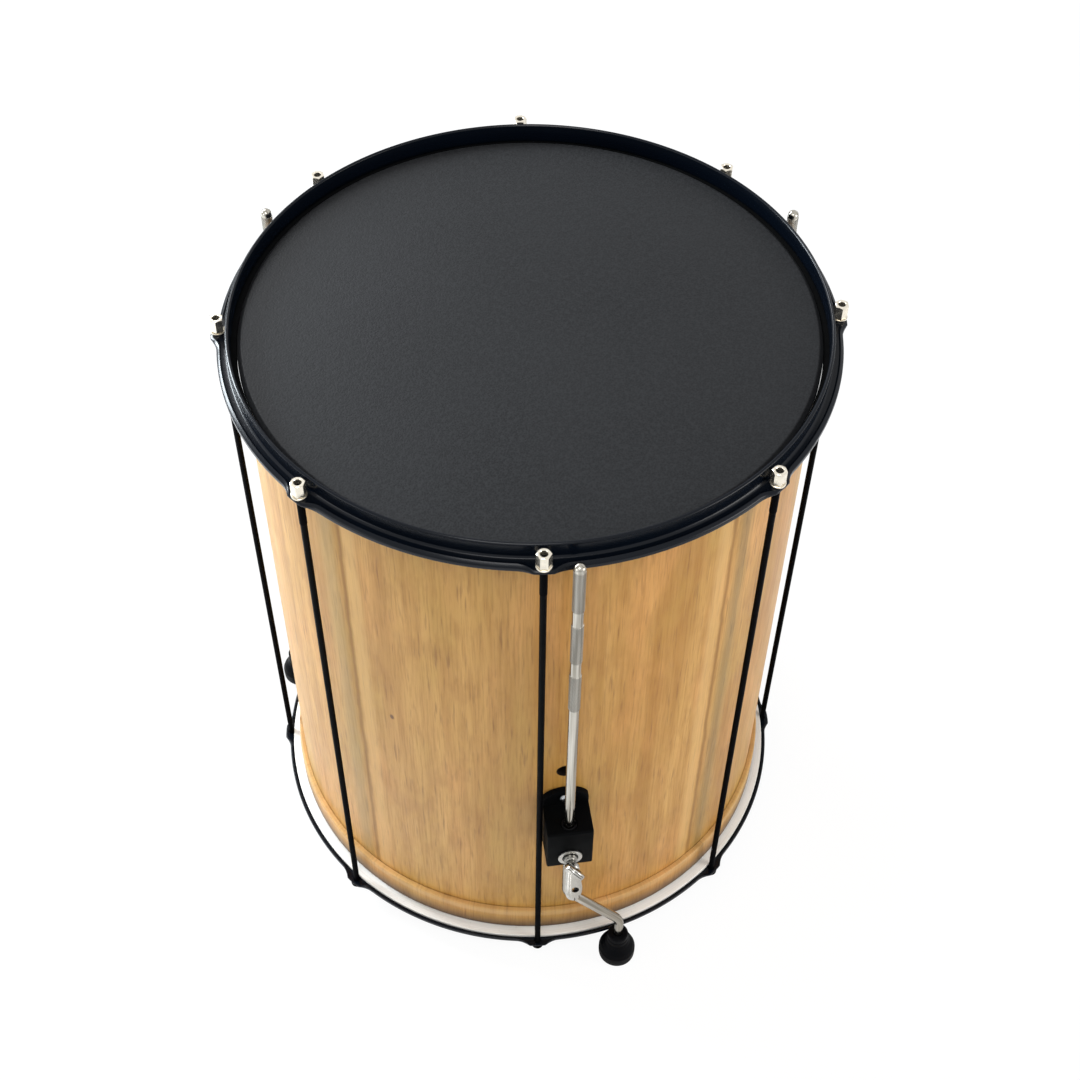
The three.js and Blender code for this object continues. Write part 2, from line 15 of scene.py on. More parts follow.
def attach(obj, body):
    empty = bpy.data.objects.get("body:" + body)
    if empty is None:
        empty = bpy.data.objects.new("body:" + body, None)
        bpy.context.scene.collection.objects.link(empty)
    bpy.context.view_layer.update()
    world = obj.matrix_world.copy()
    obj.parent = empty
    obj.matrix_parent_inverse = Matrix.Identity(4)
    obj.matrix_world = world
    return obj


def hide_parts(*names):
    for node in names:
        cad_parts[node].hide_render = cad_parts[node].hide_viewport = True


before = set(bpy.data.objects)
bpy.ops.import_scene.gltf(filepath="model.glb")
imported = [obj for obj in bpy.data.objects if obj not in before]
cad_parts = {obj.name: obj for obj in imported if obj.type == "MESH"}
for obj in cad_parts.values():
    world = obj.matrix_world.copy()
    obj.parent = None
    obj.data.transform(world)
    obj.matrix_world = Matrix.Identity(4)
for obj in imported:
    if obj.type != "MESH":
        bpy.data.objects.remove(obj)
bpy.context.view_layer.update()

# %% [markdown]
# ## The sizes that the pieces share
# A drum is a stack of rings, so a few radii and heights place nearly everything. They are
# in millimetres, as a maker has them. The origin is the middle of the playing face.
# Surfaces that touch on the real drum stand one gap apart, as in the CAD.

# %% Shared sizes
MM = 0.001
GAP = 0.3
SHELL_RADIUS = 228.6
HEAD_SPAN = 574.0
BEARING_BEVEL = 3.0
SKIN_THICKNESS = 1.2
HOOP_STEEL = 2.3
HOOP_SEAT = -2.0
FLESH_HOOP_TOP = HOOP_SEAT - HOOP_STEEL - GAP
FLESH_HOOP_LOW = FLESH_HOOP_TOP - 4.0
BAND_LOW = -HEAD_SPAN - FLESH_HOOP_LOW + GAP
BAND_HIGH = BAND_LOW + 30.0
ROD_COUNT = 8
ROD_CIRCLE = 245.1235
ROD_RADIUS = 2.65
LEG_DEGREES = {"front": 5.6, "left": -122.0, "right": 118.0}
LEG_CIRCLE = 253.4735
BRACKET_HEIGHT = -368.0
VENT_DEGREES = LEG_DEGREES["front"]
VENT_HEIGHT = BRACKET_HEIGHT + 70.0
VENT_RADIUS = 7.5
FLOOR_HEIGHT = -594.6
print("shell", 2 * SHELL_RADIUS, "mm across,", HEAD_SPAN, "mm between the heads")

# %% [markdown]
# ## The camera
# The photograph looks down on the drum at about fifty degrees, from roughly a metre and a
# half. The camera is placed by its back direction, its roll and a small sideways offset,
# all measured from the middle of the drum, and then turned with the drum about Z.

# %% Camera
ELEVATION = 0.8785
ROLL = 0.0141
DISTANCE = 1.5729
OFFSET_RIGHT = 0.00997
OFFSET_UP = 0.01164
TURN_DEGREES = -2.985
LENS = 57.25

back = Vector((0, -math.cos(ELEVATION), math.sin(ELEVATION)))
level = Vector((1, 0, 0))
rise = back.cross(level)
right = math.cos(ROLL) * level + math.sin(ROLL) * rise
upward = math.cos(ROLL) * rise - math.sin(ROLL) * level
eye = DISTANCE * back + OFFSET_RIGHT * right + OFFSET_UP * upward
facing = Matrix((right, upward, back)).transposed().to_4x4()
middle = Matrix.Translation((0, 0, -HEAD_SPAN / 2 * MM))
turn = Matrix.Rotation(math.radians(TURN_DEGREES), 4, "Z")

camera = bpy.data.objects.new("camera", bpy.data.cameras.new("camera"))
bpy.context.collection.objects.link(camera)
camera.matrix_world = middle @ turn @ Matrix.Translation(eye) @ facing
camera.data.lens = LENS
camera.data.sensor_width = 36
bpy.context.scene.camera = camera
print("camera stands at", [round(c, 3) for c in camera.matrix_world.translation])

# %% [markdown]
# ## Helpers for the node trees
# Materials and Geometry Nodes are both trees of nodes. One helper adds a node, sets its
# options and fills its sockets: a socket is linked, and anything else is a fixed value.
# The others are the few steps that every finish below is made of: a sum, a noise, a
# stretched map, a change of range and a blend of two colours.

# %% Node helper
def add_node(tree, kind, inputs=None, **settings):
    made = tree.nodes.new(kind)
    for name, value in settings.items():
        setattr(made, name, value)
    for key, value in (inputs or {}).items():
        if isinstance(value, bpy.types.NodeSocket):
            tree.links.new(value, made.inputs[key])
        else:
            made.inputs[key].default_value = value
    return made


def math_node(tree, operation, *values, clamp=False):
    return add_node(tree, "ShaderNodeMath", dict(enumerate(values)), operation=operation, use_clamp=clamp).outputs[0]


def distance(tree, across, up):
    squares = [math_node(tree, "MULTIPLY", side, side) for side in (across, up)]
    return math_node(tree, "SQRT", math_node(tree, "ADD", *squares))


def ranged(tree, value, low, high, to_low=0.0, to_high=1.0):
    """The value's place between low and high, carried over to another range and held in it."""
    ends = {"From Min": low, "From Max": high, "To Min": to_low, "To Max": to_high}
    return add_node(tree, "ShaderNodeMapRange", {"Value": value, **ends}, clamp=True).outputs["Result"]

print("node helpers are ready")

# %% Pattern and colour helpers
def srgb(red, green, blue):
    """A colour as it looks on a screen, turned into the linear values that shaders use."""
    shares = (red / 255, green / 255, blue / 255)
    linear = [c / 12.92 if c <= 0.04045 else ((c + 0.055) / 1.055) ** 2.4 for c in shares]
    return (*linear, 1.0)


def noise(tree, vector, scale, detail=3.0, roughness=0.55):
    inputs = {"Vector": vector, "Scale": scale, "Detail": detail, "Roughness": roughness}
    return add_node(tree, "ShaderNodeTexNoise", inputs).outputs["Fac"]


def grain(tree, flat, across, up, detail=3.0, roughness=0.55):
    """A noise on an unrolled map, with so many changes to the metre across and up."""
    drawn_out = add_node(tree, "ShaderNodeMapping", {"Vector": flat, "Scale": (across, up, 1)}).outputs["Vector"]
    return noise(tree, drawn_out, 1.0, detail, roughness)


def blended(tree, amount, first, second):
    return add_node(tree, "ShaderNodeMix", {0: amount, 6: first, 7: second}, data_type="RGBA").outputs[2]


def unrolled_map(tree):
    """The Unrolled UV map, with its way round and its height by themselves."""
    flat = add_node(tree, "ShaderNodeUVMap", uv_map="Unrolled").outputs["UV"]
    parts = add_node(tree, "ShaderNodeSeparateXYZ", {"Vector": flat})
    return flat, parts.outputs["X"], parts.outputs["Y"]


def object_place(tree):
    return add_node(tree, "ShaderNodeTexCoord").outputs["Object"]

print("white in linear values:", srgb(255, 255, 255))

# %% Finish helpers
def new_finish(name, colour, roughness, metallic=0.0, **sockets):
    """A material with a Principled shader. Returns the material, its tree and its shader."""
    material = bpy.data.materials.new(name)
    material.use_nodes = True
    tree = material.node_tree
    shader = tree.nodes["Principled BSDF"]
    shader.inputs["Base Color"].default_value = colour
    shader.inputs["Roughness"].default_value = roughness
    shader.inputs["Metallic"].default_value = metallic
    for socket, value in sockets.items():
        label = " ".join(word if word.isupper() else word.title() for word in socket.split("_"))
        shader.inputs[label].default_value = value
    return material, tree, shader


def coloured(tree, shader, colour, roughness=None):
    tree.links.new(colour, shader.inputs["Base Color"])
    if roughness:
        tree.links.new(roughness, shader.inputs["Roughness"])


def bumped(tree, shader, height, strength, depth):
    bump = add_node(tree, "ShaderNodeBump", {"Height": height, "Strength": strength, "Distance": depth})
    tree.links.new(bump.outputs["Normal"], shader.inputs["Normal"])

print("finish helpers are ready")

# %% [markdown]
# ## The veneer
# The shell is plywood faced with a pale golden veneer. Its grain runs up the drum, with
# fine fibres, short dark pores and slow changes of tone. All of these are noises that are
# drawn out along the height. The pattern follows a UV map that unrolls the drum flat, in
# metres: U is the way round and V is the height.

# %% Veneer grain
def veneer_grain(tree, flat, light, dark):
    """The colour of the grain, and its fibres for the gloss and the relief."""
    broad, streaks = grain(tree, flat, 14, 1.6), grain(tree, flat, 90, 3.5, 4, 0.6)
    patches, warmth = grain(tree, flat, 38, 17, 3, 0.6), grain(tree, flat, 17, 5)
    fibres, pores = grain(tree, flat, 560, 20, 3, 0.65), grain(tree, flat, 380, 24, 2, 0.5)
    tone = math_node(tree, "MULTIPLY", math_node(tree, "ADD", broad, streaks), 0.5)
    colour = blended(tree, ranged(tree, tone, 0.38, 0.62), light, dark)
    for pattern, start, full, most, tint in (
        (warmth, 0.52, 0.66, 0.42, srgb(220, 158, 92)),
        (warmth, 0.48, 0.34, 0.5, srgb(186, 148, 70)),
        (patches, 0.5, 0.72, 0.4, srgb(158, 108, 44)),
        (fibres, 0.46, 0.72, 0.5, srgb(148, 100, 42)),
        (pores, 0.58, 0.74, 0.55, srgb(124, 80, 34)),
    ):
        colour = blended(tree, ranged(tree, pattern, start, full, 0.0, most), colour, tint)
    return colour, fibres


def veneer_finish(name, light, dark, marks):
    """Satin varnished veneer. The marks and the painted light are what set this face apart from plain grain."""
    material, tree, shader = new_finish(
        name, light, 0.45, specular_IOR_level=0.3, coat_weight=0.06, coat_roughness=0.3)
    flat, across, height = unrolled_map(tree)
    colour, fibres = veneer_grain(tree, flat, light, dark)
    colour = marks(tree, colour, flat, across, height)
    coloured(tree, shader, colour, ranged(tree, fibres, 0.3, 0.8, 0.38, 0.5))
    bumped(tree, shader, fibres, 0.12, 0.0002)
    return material

print("veneer is made of six noises")

# %% [markdown]
# ## The marks on the shell and on the band
# Two joints between the sheets run the full height. Each is a thin dark line that wanders
# a little, with a greyer strip outside it, which is a painted reflection on the varnish,
# and paler wood inside. The shell also has one small knot, and the wall of its vent hole
# is painted dark as shade. The band is painted darker towards its lower edge as shade,
# and its upper edge is painted pale as a highlight.

# %% Shell veneer
JOINT_DEGREES = (-40.7, 39.9)
JOINT_WANDER = 0.005
KNOT_DEGREES = -32.0
KNOT_HEIGHT = -260.0


def with_joints(tree, colour, flat, across):
    drift = math_node(tree, "SUBTRACT", grain(tree, flat, 0, 22), 0.5)
    wander = math_node(tree, "MULTIPLY", drift, JOINT_WANDER)
    for degrees in JOINT_DEGREES:
        place = math.radians(degrees) * SHELL_RADIUS * MM
        offset = math_node(tree, "ADD", math_node(tree, "SUBTRACT", across, place), wander)
        outwards = math.copysign(1.0, degrees)
        for strip, core, edge, most, tint in (
            # The grey strip outside each joint is a painted reflection on the varnish; the dark line is the joint
            # itself.
            (13 * outwards, 4, 13, 0.36, srgb(172, 150, 94)),
            (-9 * outwards, 3, 10, 0.4, srgb(228, 188, 122)),
            (0, 0.6, 3.4, 0.72, srgb(136, 94, 38)),
        ):
            apart = math_node(tree, "ABSOLUTE", math_node(tree, "SUBTRACT", offset, strip * MM))
            colour = blended(tree, ranged(tree, apart, core * MM, edge * MM, most, 0.0), colour, tint)
    return colour


def with_spot(tree, colour, away, core, edge, most, tint):
    """A round spot. away is how far each point is from its middle, across and up."""
    return blended(tree, ranged(tree, distance(tree, *away), core * MM, edge * MM, most, 0.0), colour, tint)


def shell_marks_and_painted_light(tree, colour, flat, across, height):
    colour = with_joints(tree, colour, flat, across)
    knot_across = math_node(tree, "SUBTRACT", across, math.radians(KNOT_DEGREES) * SHELL_RADIUS * MM)
    knot_up = math_node(tree, "MULTIPLY", math_node(tree, "SUBTRACT", height, KNOT_HEIGHT * MM), 0.62)
    colour = with_spot(tree, colour, (knot_across, knot_up), 1.2, 2.6, 0.85, srgb(88, 48, 28))
    # The vent hole's wall is painted dark: painted shade inside the hole.
    vent_across = math_node(tree, "SUBTRACT", across, math.radians(VENT_DEGREES) * SHELL_RADIUS * MM)
    vent_up = math_node(tree, "SUBTRACT", height, VENT_HEIGHT * MM)
    rim = VENT_RADIUS + 0.2
    return with_spot(tree, colour, (vent_across, vent_up), rim, rim + 0.5, 1.0, srgb(20, 13, 8))

veneer = veneer_finish("golden_veneer", srgb(205, 159, 88), srgb(172, 123, 53), shell_marks_and_painted_light)
print("made", veneer.name, "with", len(veneer.node_tree.nodes), "nodes")

# %% Band veneer
def band_painted_light(tree, colour, flat, across, height):
    # Painted highlight on the upper edge, and painted shade that darkens the band towards its lower edge.
    painted_top_highlight = ranged(tree, height, (BAND_HIGH - 9.4) * MM, (BAND_HIGH - 5.4) * MM, 0.0, 0.3)
    painted_low_shade = ranged(tree, height, (BAND_LOW + 0.9) * MM, (BAND_LOW + 19.6) * MM, 1.0, 0.0)
    colour = blended(tree, painted_top_highlight, colour, srgb(232, 196, 140))
    return blended(tree, painted_low_shade, colour, srgb(58, 34, 12))

band_veneer = veneer_finish("band_veneer", srgb(200, 153, 84), srgb(166, 117, 52), band_painted_light)
print("made", band_veneer.name, "with", len(band_veneer.node_tree.nodes), "nodes")

# %% [markdown]
# ## The two skins' finishes
# The playing head has the fine grain of black leather. Small cells from a Voronoi texture
# are the grain, a slower noise makes them uneven, and a very slow one clouds the tone. The
# head at the foot end is plain milky film.

# %% Skin finishes
def leather_finish():
    material, tree, shader = new_finish("grained_black_skin", srgb(34, 35, 37), 0.45, specular_IOR_level=0.14)
    place = object_place(tree)
    cells = add_node(tree, "ShaderNodeTexVoronoi", {"Vector": place, "Scale": 620.0, "Randomness": 1.0})
    soft = math_node(tree, "MULTIPLY", noise(tree, place, 240.0, 4), 0.9)
    height = math_node(tree, "ADD", cells.outputs["Distance"], soft)
    clouds = ranged(tree, noise(tree, place, 7.0, 2), 0.3, 0.7, 0.0, 0.25)
    colour = blended(tree, ranged(tree, height, 0.5, 1.3), srgb(26, 27, 29), srgb(42, 43, 45))
    colour = blended(tree, clouds, colour, srgb(46, 47, 49))
    coloured(tree, shader, colour, ranged(tree, height, 0.4, 1.4, 0.42, 0.54))
    bumped(tree, shader, height, 0.35, 0.0003)
    return material


def film_finish():
    material, tree, shader = new_finish("milky_film", srgb(224, 220, 210), 0.45)
    mottle = noise(tree, object_place(tree), 60.0, 4)
    coloured(tree, shader, blended(tree, ranged(tree, mottle, 0.35, 0.7), srgb(228, 224, 214), srgb(212, 207, 196)))
    bumped(tree, shader, mottle, 0.15, 0.0003)
    return material

black_skin = leather_finish()
milky_film = film_finish()
print("made", black_skin.name, "and", milky_film.name)

# %% [markdown]
# ## Paint, plating and rubber
# The hoops and rods are painted black, the nuts are nickel, and the brackets and feet are
# black too but duller. Real surfaces are never even, so each finish varies its tone and
# its roughness a little. The blacks get a low specular level, because a white studio
# would grey them.

# %% Plain hard finishes
def uneven_finish(name, colour, roughness, metallic, spread, scale, bump=0.0, **sockets):
    """A paint, plate or rubber whose roughness wavers by the spread, in clouds of that scale."""
    material, tree, shader = new_finish(name, colour, roughness, metallic, **sockets)
    place = object_place(tree)
    cloud = noise(tree, place, scale, 4)
    darker = tuple(c * 0.82 for c in colour[:3]) + (1.0,)
    wavering = ranged(tree, cloud, 0.3, 0.7, roughness - spread, roughness + spread)
    coloured(tree, shader, blended(tree, ranged(tree, cloud, 0.35, 0.7), colour, darker), wavering)
    if bump:
        bumped(tree, shader, noise(tree, place, scale * 12, 3), bump, 0.0002)
    return material

black_paint = uneven_finish("black_paint", srgb(6, 12, 21), 0.22, 0.0, 0.04, 40, 0.04, specular_IOR_level=0.18)
rod_paint = uneven_finish("rod_paint", srgb(6, 6, 8), 0.42, 0.0, 0.05, 90, 0.05, specular_IOR_level=0.01)
powder_coat = uneven_finish("black_powder_coat", srgb(7, 8, 9), 0.48, 0.0, 0.05, 60, 0.18, specular_IOR_level=0.02)
foot_rubber = uneven_finish("black_rubber", srgb(8, 9, 12), 0.42, 0.0, 0.08, 70, 0.22, specular_IOR_level=0.035)
# The skin lapped round the playing head's flesh hoop, painted darker than the skin itself: painted shade in the gap
# under the rim.
lapped_skin = uneven_finish("lapped_skin", srgb(10, 11, 12), 0.75, 0.0, 0.05, 150, 0.2, specular_IOR_level=0.05)
bush_plastic = uneven_finish("black_bush_plastic", srgb(10, 10, 12), 0.5, 0.0, 0.05, 120, 0.1, specular_IOR_level=0.08)
nickel_plate = uneven_finish("nickel_plate", srgb(240, 232, 216), 0.2, 0.9, 0.06, 220)
zinc_plate = uneven_finish("zinc_plate", srgb(186, 188, 190), 0.3, 1.0, 0.06, 160)
print("finishes so far:", len(bpy.data.materials))

# %% [markdown]
# ## Chrome and brushed aluminium
# The leg rods are drawn steel under chrome, so faint streaks run along them, and three
# bands are knurled. Two sets of slanted waves cross on the rod's unrolled map, and the
# lower of the two at each point is the diamond. The pitch goes a whole number of times
# round the rod, so the pattern meets itself. The lines of the brushed flesh hoop follow
# the distance from the drum's axis.

# %% Chrome
KNURL_PITCH = 0.00142
KNURLS_ROUND = 21


def chrome_finish():
    """Chrome plate, with a diamond knurl wherever the piece's own knurl attribute is 1."""
    material, tree, shader = new_finish("chrome_plate", srgb(205, 207, 210), 0.16, 1.0)
    knurl = add_node(tree, "ShaderNodeAttribute", attribute_name="knurl").outputs["Fac"]
    flat, across, height = unrolled_map(tree)
    waves = []
    for slope in (0.8, -0.8):
        slant = math_node(tree, "MULTIPLY_ADD", height, slope, across)
        waves.append(math_node(tree, "SINE", math_node(tree, "MULTIPLY", slant, math.tau / KNURL_PITCH)))
    peaks = math_node(tree, "MULTIPLY", math_node(tree, "MINIMUM", *waves), knurl)
    drawn = grain(tree, flat, 330, 7)
    colour = blended(tree, ranged(tree, drawn, 0.38, 0.62), srgb(206, 202, 192), srgb(146, 141, 130))
    # The knurl's valleys are painted darker: painted shade in its grooves.
    colour = blended(tree, ranged(tree, peaks, -0.9, 0.1, 0.65, 0.0), colour, srgb(80, 80, 79))
    coloured(tree, shader, colour, ranged(tree, knurl, 0.0, 1.0, 0.14, 0.34))
    bumped(tree, shader, peaks, 0.55, 0.0003)
    return material


def forged_finish():
    """Chrome on a forging. What a cutter opened has no Forged map, so it stays dark: painted shade in the grooves, the
    eyelets and the ring round the washer's hole.
    """
    material = uneven_finish("cast_chrome", srgb(190, 188, 182), 0.26, 1.0, 0.06, 140, 0.08)
    tree = material.node_tree
    shader = tree.nodes["Principled BSDF"]
    plated = shader.inputs["Base Color"].links[0].from_socket
    forged_map = add_node(tree, "ShaderNodeUVMap", uv_map="Forged").outputs["UV"]
    mapped = add_node(tree, "ShaderNodeSeparateXYZ", {"Vector": forged_map}).outputs["X"]
    coloured(tree, shader, blended(tree, ranged(tree, mapped, 0.4, 0.6, 1.0, 0.0), plated, srgb(34, 34, 33)))
    return material

chrome_plate = chrome_finish()
cast_chrome = forged_finish()
print("made", chrome_plate.name, "and", cast_chrome.name)

# %% Brushed aluminium
def brushed_ring_finish():
    """Pale aluminium, brushed the way round: its lines follow the distance from the axis."""
    material, tree, shader = new_finish("brushed_ring", srgb(246, 243, 236), 0.42)
    place = object_place(tree)
    parts = add_node(tree, "ShaderNodeSeparateXYZ", {"Vector": place})
    x, y = parts.outputs["X"], parts.outputs["Y"]
    rings = add_node(tree, "ShaderNodeCombineXYZ", {
        "X": math_node(tree, "MULTIPLY", distance(tree, x, y), 1500.0),
        "Y": math_node(tree, "MULTIPLY", x, 14.0), "Z": math_node(tree, "MULTIPLY", y, 14.0),
    }).outputs["Vector"]
    lines = noise(tree, rings, 1.0)
    ticks = ranged(tree, noise(tree, place, 320.0), 0.62, 0.75, 0.0, 0.3)
    colour = blended(tree, ranged(tree, lines, 0.4, 0.7), srgb(252, 250, 245), srgb(240, 236, 228))
    colour = blended(tree, ticks, colour, srgb(200, 191, 178))
    coloured(tree, shader, colour, ranged(tree, lines, 0.3, 0.7, 0.34, 0.5))
    return material

brushed_ring = brushed_ring_finish()
print("made", brushed_ring.name)

# %% [markdown]
# ## Turning a profile into a solid
# Most of a drum is round, so most pieces are a profile turned about the Z axis. The helper
# joins the seam and shares one vertex at each pole, so the solid is closed from the start.
# A second helper rounds the corners of the profile first, because no real edge is sharp.

# %% New meshes
def new_piece(name, verts, faces):
    mesh = bpy.data.meshes.new(name)
    mesh.from_pydata(verts, [], faces)
    mesh.validate()
    piece = bpy.data.objects.new(name, mesh)
    bpy.context.collection.objects.link(piece)
    return piece


def smoothed(piece, sharp_degrees=32):
    """Points every face outwards and keeps only the edges over that angle sharp."""
    work = bmesh.new()
    work.from_mesh(piece.data)
    bmesh.ops.remove_doubles(work, verts=work.verts, dist=1e-7)
    bmesh.ops.recalc_face_normals(work, faces=work.faces)
    for face in work.faces:
        face.smooth = True
    for edge in work.edges:
        edge.smooth = edge.calc_face_angle(0.0) < math.radians(sharp_degrees)
    work.to_mesh(piece.data)
    work.free()
    return piece


def moved(piece, matrix):
    piece.data.transform(matrix)
    return piece

print("meshes are built in metres, one unit is", 1 / MM, "mm")

# %% Turned solids
def turned(name, profile, sides, axis_at=(0, 0)):
    """A closed solid from a profile of (radius, height) in millimetres. A radius of 0 is a pole."""
    verts, rings = [], []
    for radius, height in profile:
        if radius == 0:
            rings.append([len(verts)] * sides)
            verts.append((axis_at[0] * MM, axis_at[1] * MM, height * MM))
            continue
        rings.append(list(range(len(verts), len(verts) + sides)))
        for i in range(sides):
            angle = math.tau * i / sides
            x = axis_at[0] + radius * math.sin(angle)
            y = axis_at[1] - radius * math.cos(angle)
            verts.append((x * MM, y * MM, height * MM))
    closed = profile[0][0] != 0
    faces = []
    for low, high in zip(rings, rings[1:] + rings[:1] if closed else rings[1:]):
        for i in range(sides):
            j = (i + 1) % sides
            face = list(dict.fromkeys([low[i], low[j], high[j], high[i]]))
            if len(face) > 2:
                faces.append(face)
    return smoothed(new_piece(name, verts, faces))


def rounded(corners, radius, steps=3, closed=True):
    """Rounds the corners of a profile. A corner may bring its own radius as a third number."""
    points = []
    count = len(corners)
    for i, corner in enumerate(corners):
        here = Vector(corner[:2])
        size = corner[2] if len(corner) > 2 else radius
        if size == 0 or (not closed and i in (0, count - 1)):
            points.append(tuple(here))
            continue
        before = Vector(corners[i - 1][:2]) - here
        after = Vector(corners[(i + 1) % count][:2]) - here
        half = before.angle(after) / 2
        reach = min(size / math.tan(half), before.length * 0.48, after.length * 0.48)
        start, end = here + before.normalized() * reach, here + after.normalized() * reach
        for k in range(steps + 1):
            t = k / steps
            points.append(tuple((1 - t) ** 2 * start + 2 * t * (1 - t) * here + t ** 2 * end))
    return points

print("a square with round corners has", len(rounded([(0, 0), (9, 0), (9, 9), (0, 9)], 1)), "points")

# %% [markdown]
# ## Cutting, joining and handing over
# Holes and joined forms are Booleans, whose result is made the piece's own mesh at once.
# A finished piece is then dressed: it gets its material and the body that carries it, and
# the CAD nodes that it stands for are hidden.

# %% Booleans
def plain_mesh(piece):
    """Makes the result of the piece's modifiers its own mesh."""
    graph = bpy.context.evaluated_depsgraph_get()
    mesh = bpy.data.meshes.new_from_object(piece.evaluated_get(graph))
    piece.modifiers.clear()
    piece.data = mesh
    return piece


def combine(piece, others, operation="DIFFERENCE"):
    """Cuts other solids out of a piece, or joins them to it, and removes them."""
    for other in others:
        step = piece.modifiers.new(operation, "BOOLEAN")
        step.operation = operation
        step.solver = "EXACT"
        step.object = other
    plain_mesh(piece)
    for other in others:
        bpy.data.objects.remove(other)
    return piece

print("pieces are cut with the exact solver")

# %% Dressing
def dress(piece, material, body, slot, *nodes):
    """Gives a piece its material, its body and the CAD nodes that it stands for. The slot is not used."""
    piece.data.materials.clear()
    piece.data.materials.append(material)
    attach(piece, body)
    if nodes:
        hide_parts(*nodes)
    print(piece.name, "has", len(piece.data.polygons), "faces")
    return piece


def unroll(piece):
    """Gives a ring of the drum its Unrolled map: U is the way round, and V is the height."""
    mesh = piece.data
    layer = mesh.uv_layers.get("Unrolled") or mesh.uv_layers.new(name="Unrolled")
    for face in mesh.polygons:
        face_angle = math.atan2(face.center.x, -face.center.y)
        for loop in face.loop_indices:
            place = mesh.vertices[mesh.loops[loop].vertex_index].co
            angle = math.atan2(place.x, -place.y)
            angle += math.tau * round((face_angle - angle) / math.tau)
            layer.data[loop].uv = (angle * SHELL_RADIUS * MM, place.z)
    return piece

# %% [markdown]
# ## The shell
# The shell is one round tube, 9 mm thick, whose edges are bevelled to a narrow crest that
# carries the head. A turned profile gives the tube. The vent hole is cut with a Boolean,
# because a hole across a curved wall is awkward to build by hand.

# %% Shell and vent
SHELL_WALL = 9.0
RING_SIDES = 240
CREST_RADIUS = SHELL_RADIUS - BEARING_BEVEL
SHELL_TOP = -(SKIN_THICKNESS + GAP)
SHELL_FOOT = -HEAD_SPAN - SHELL_TOP
OUTWARD = Matrix.Rotation(math.pi / 2, 4, "X")

shell_inside = SHELL_RADIUS - SHELL_WALL
inner_bevel = SHELL_WALL - BEARING_BEVEL
shell_profile = rounded([
    (shell_inside, SHELL_FOOT + inner_bevel, 0.6), (CREST_RADIUS, SHELL_FOOT),
    (SHELL_RADIUS, SHELL_FOOT + BEARING_BEVEL), (SHELL_RADIUS, SHELL_TOP - BEARING_BEVEL),
    (CREST_RADIUS, SHELL_TOP), (shell_inside, SHELL_TOP - inner_bevel, 0.6),
], 0.8, 2)
shell_tube = turned("shell_tube", shell_profile, RING_SIDES)


def radial_plug(name, radius, start, end, height, degrees, sides=40):
    """A round plug that points outwards from the drum's axis, as a cutter for the wall."""
    plug = turned(name, [(0, start), (radius, start), (radius, end), (0, end)], sides)
    lift = Matrix.Translation((0, 0, height * MM))
    return moved(plug, Matrix.Rotation(math.radians(degrees), 4, "Z") @ lift @ OUTWARD)


combine(shell_tube, [radial_plug("vent_plug", VENT_RADIUS, 210, 240, VENT_HEIGHT, VENT_DEGREES)])
smoothed(unroll(shell_tube))
dress(shell_tube, veneer, "drum", "shell_veneer", "shell")

# %% [markdown]
# ## The reinforcement band
# A second ring of ply is glued round the foot end of the shell. Its upper edge is rounded
# over and its lower one has a small chamfer.

# %% Reinforcement band
BAND_THICKNESS = 4.7

band_inside = SHELL_RADIUS + GAP
band_outside = band_inside + BAND_THICKNESS
band_profile = rounded([
    (band_inside, BAND_LOW, 0), (band_outside - 1.0, BAND_LOW, 0.4), (band_outside, BAND_LOW + 1.5, 1.6),
    (band_outside, BAND_HIGH, 2.0), (band_inside, BAND_HIGH, 0),
], 0.6, 5)
band_ring = smoothed(unroll(turned("band_ring", band_profile, RING_SIDES)))
dress(band_ring, band_veneer, "drum", "band_veneer", "reinforcement_band")

# %% [markdown]
# ## The heads
# A skin lies flat across the bearing edge, rounds over it and runs down to the flesh hoop
# that grips it. Both heads are the same turned solid; the lower one is turned over.

# %% Skins
TURN_OVER = Matrix.Translation((0, 0, -HEAD_SPAN * MM)) @ Matrix.Rotation(math.pi, 4, "X")

skin_inside = SHELL_RADIUS + GAP
skin_outside = skin_inside + SKIN_THICKNESS
under_corner = -SKIN_THICKNESS - (skin_inside - CREST_RADIUS)
skin_profile = rounded([
    (0, -SKIN_THICKNESS, 0), (CREST_RADIUS, -SKIN_THICKNESS), (skin_inside, under_corner),
    (skin_inside, FLESH_HOOP_LOW, 0), (skin_outside, FLESH_HOOP_LOW, 0),
    (skin_outside, -3.1, 2.4), (skin_outside - 3.2, 0, 2.6), (0, 0, 0),
], 0.8, 5, closed=False)

batter_skin = turned("batter_skin", skin_profile, 192)
dress(batter_skin, black_skin, "drum", "batter_skin", "batter_head")
resonant_skin = moved(turned("resonant_skin", skin_profile, 192), TURN_OVER)
dress(resonant_skin, milky_film, "drum", "resonant_skin", "resonant_head")

# %% Flesh hoops
FLESH_HOOP_OUTSIDE = 242.1

flesh_inside = skin_outside + GAP
flesh_profile = rounded([
    (flesh_inside, FLESH_HOOP_LOW), (FLESH_HOOP_OUTSIDE, FLESH_HOOP_LOW),
    (FLESH_HOOP_OUTSIDE, FLESH_HOOP_TOP), (flesh_inside, FLESH_HOOP_TOP),
], 0.6, 3)
batter_ring = turned("batter_flesh_ring", flesh_profile, RING_SIDES)
# The flesh hoop under the playing head is near black: lapped skin, painted darker as shade.
dress(batter_ring, lapped_skin, "drum", "lapped_skin", "batter_flesh_hoop")
resonant_ring = moved(turned("resonant_flesh_ring", flesh_profile, RING_SIDES), TURN_OVER)
dress(resonant_ring, brushed_ring, "drum", "flesh_hoop_metal", "resonant_flesh_hoop")

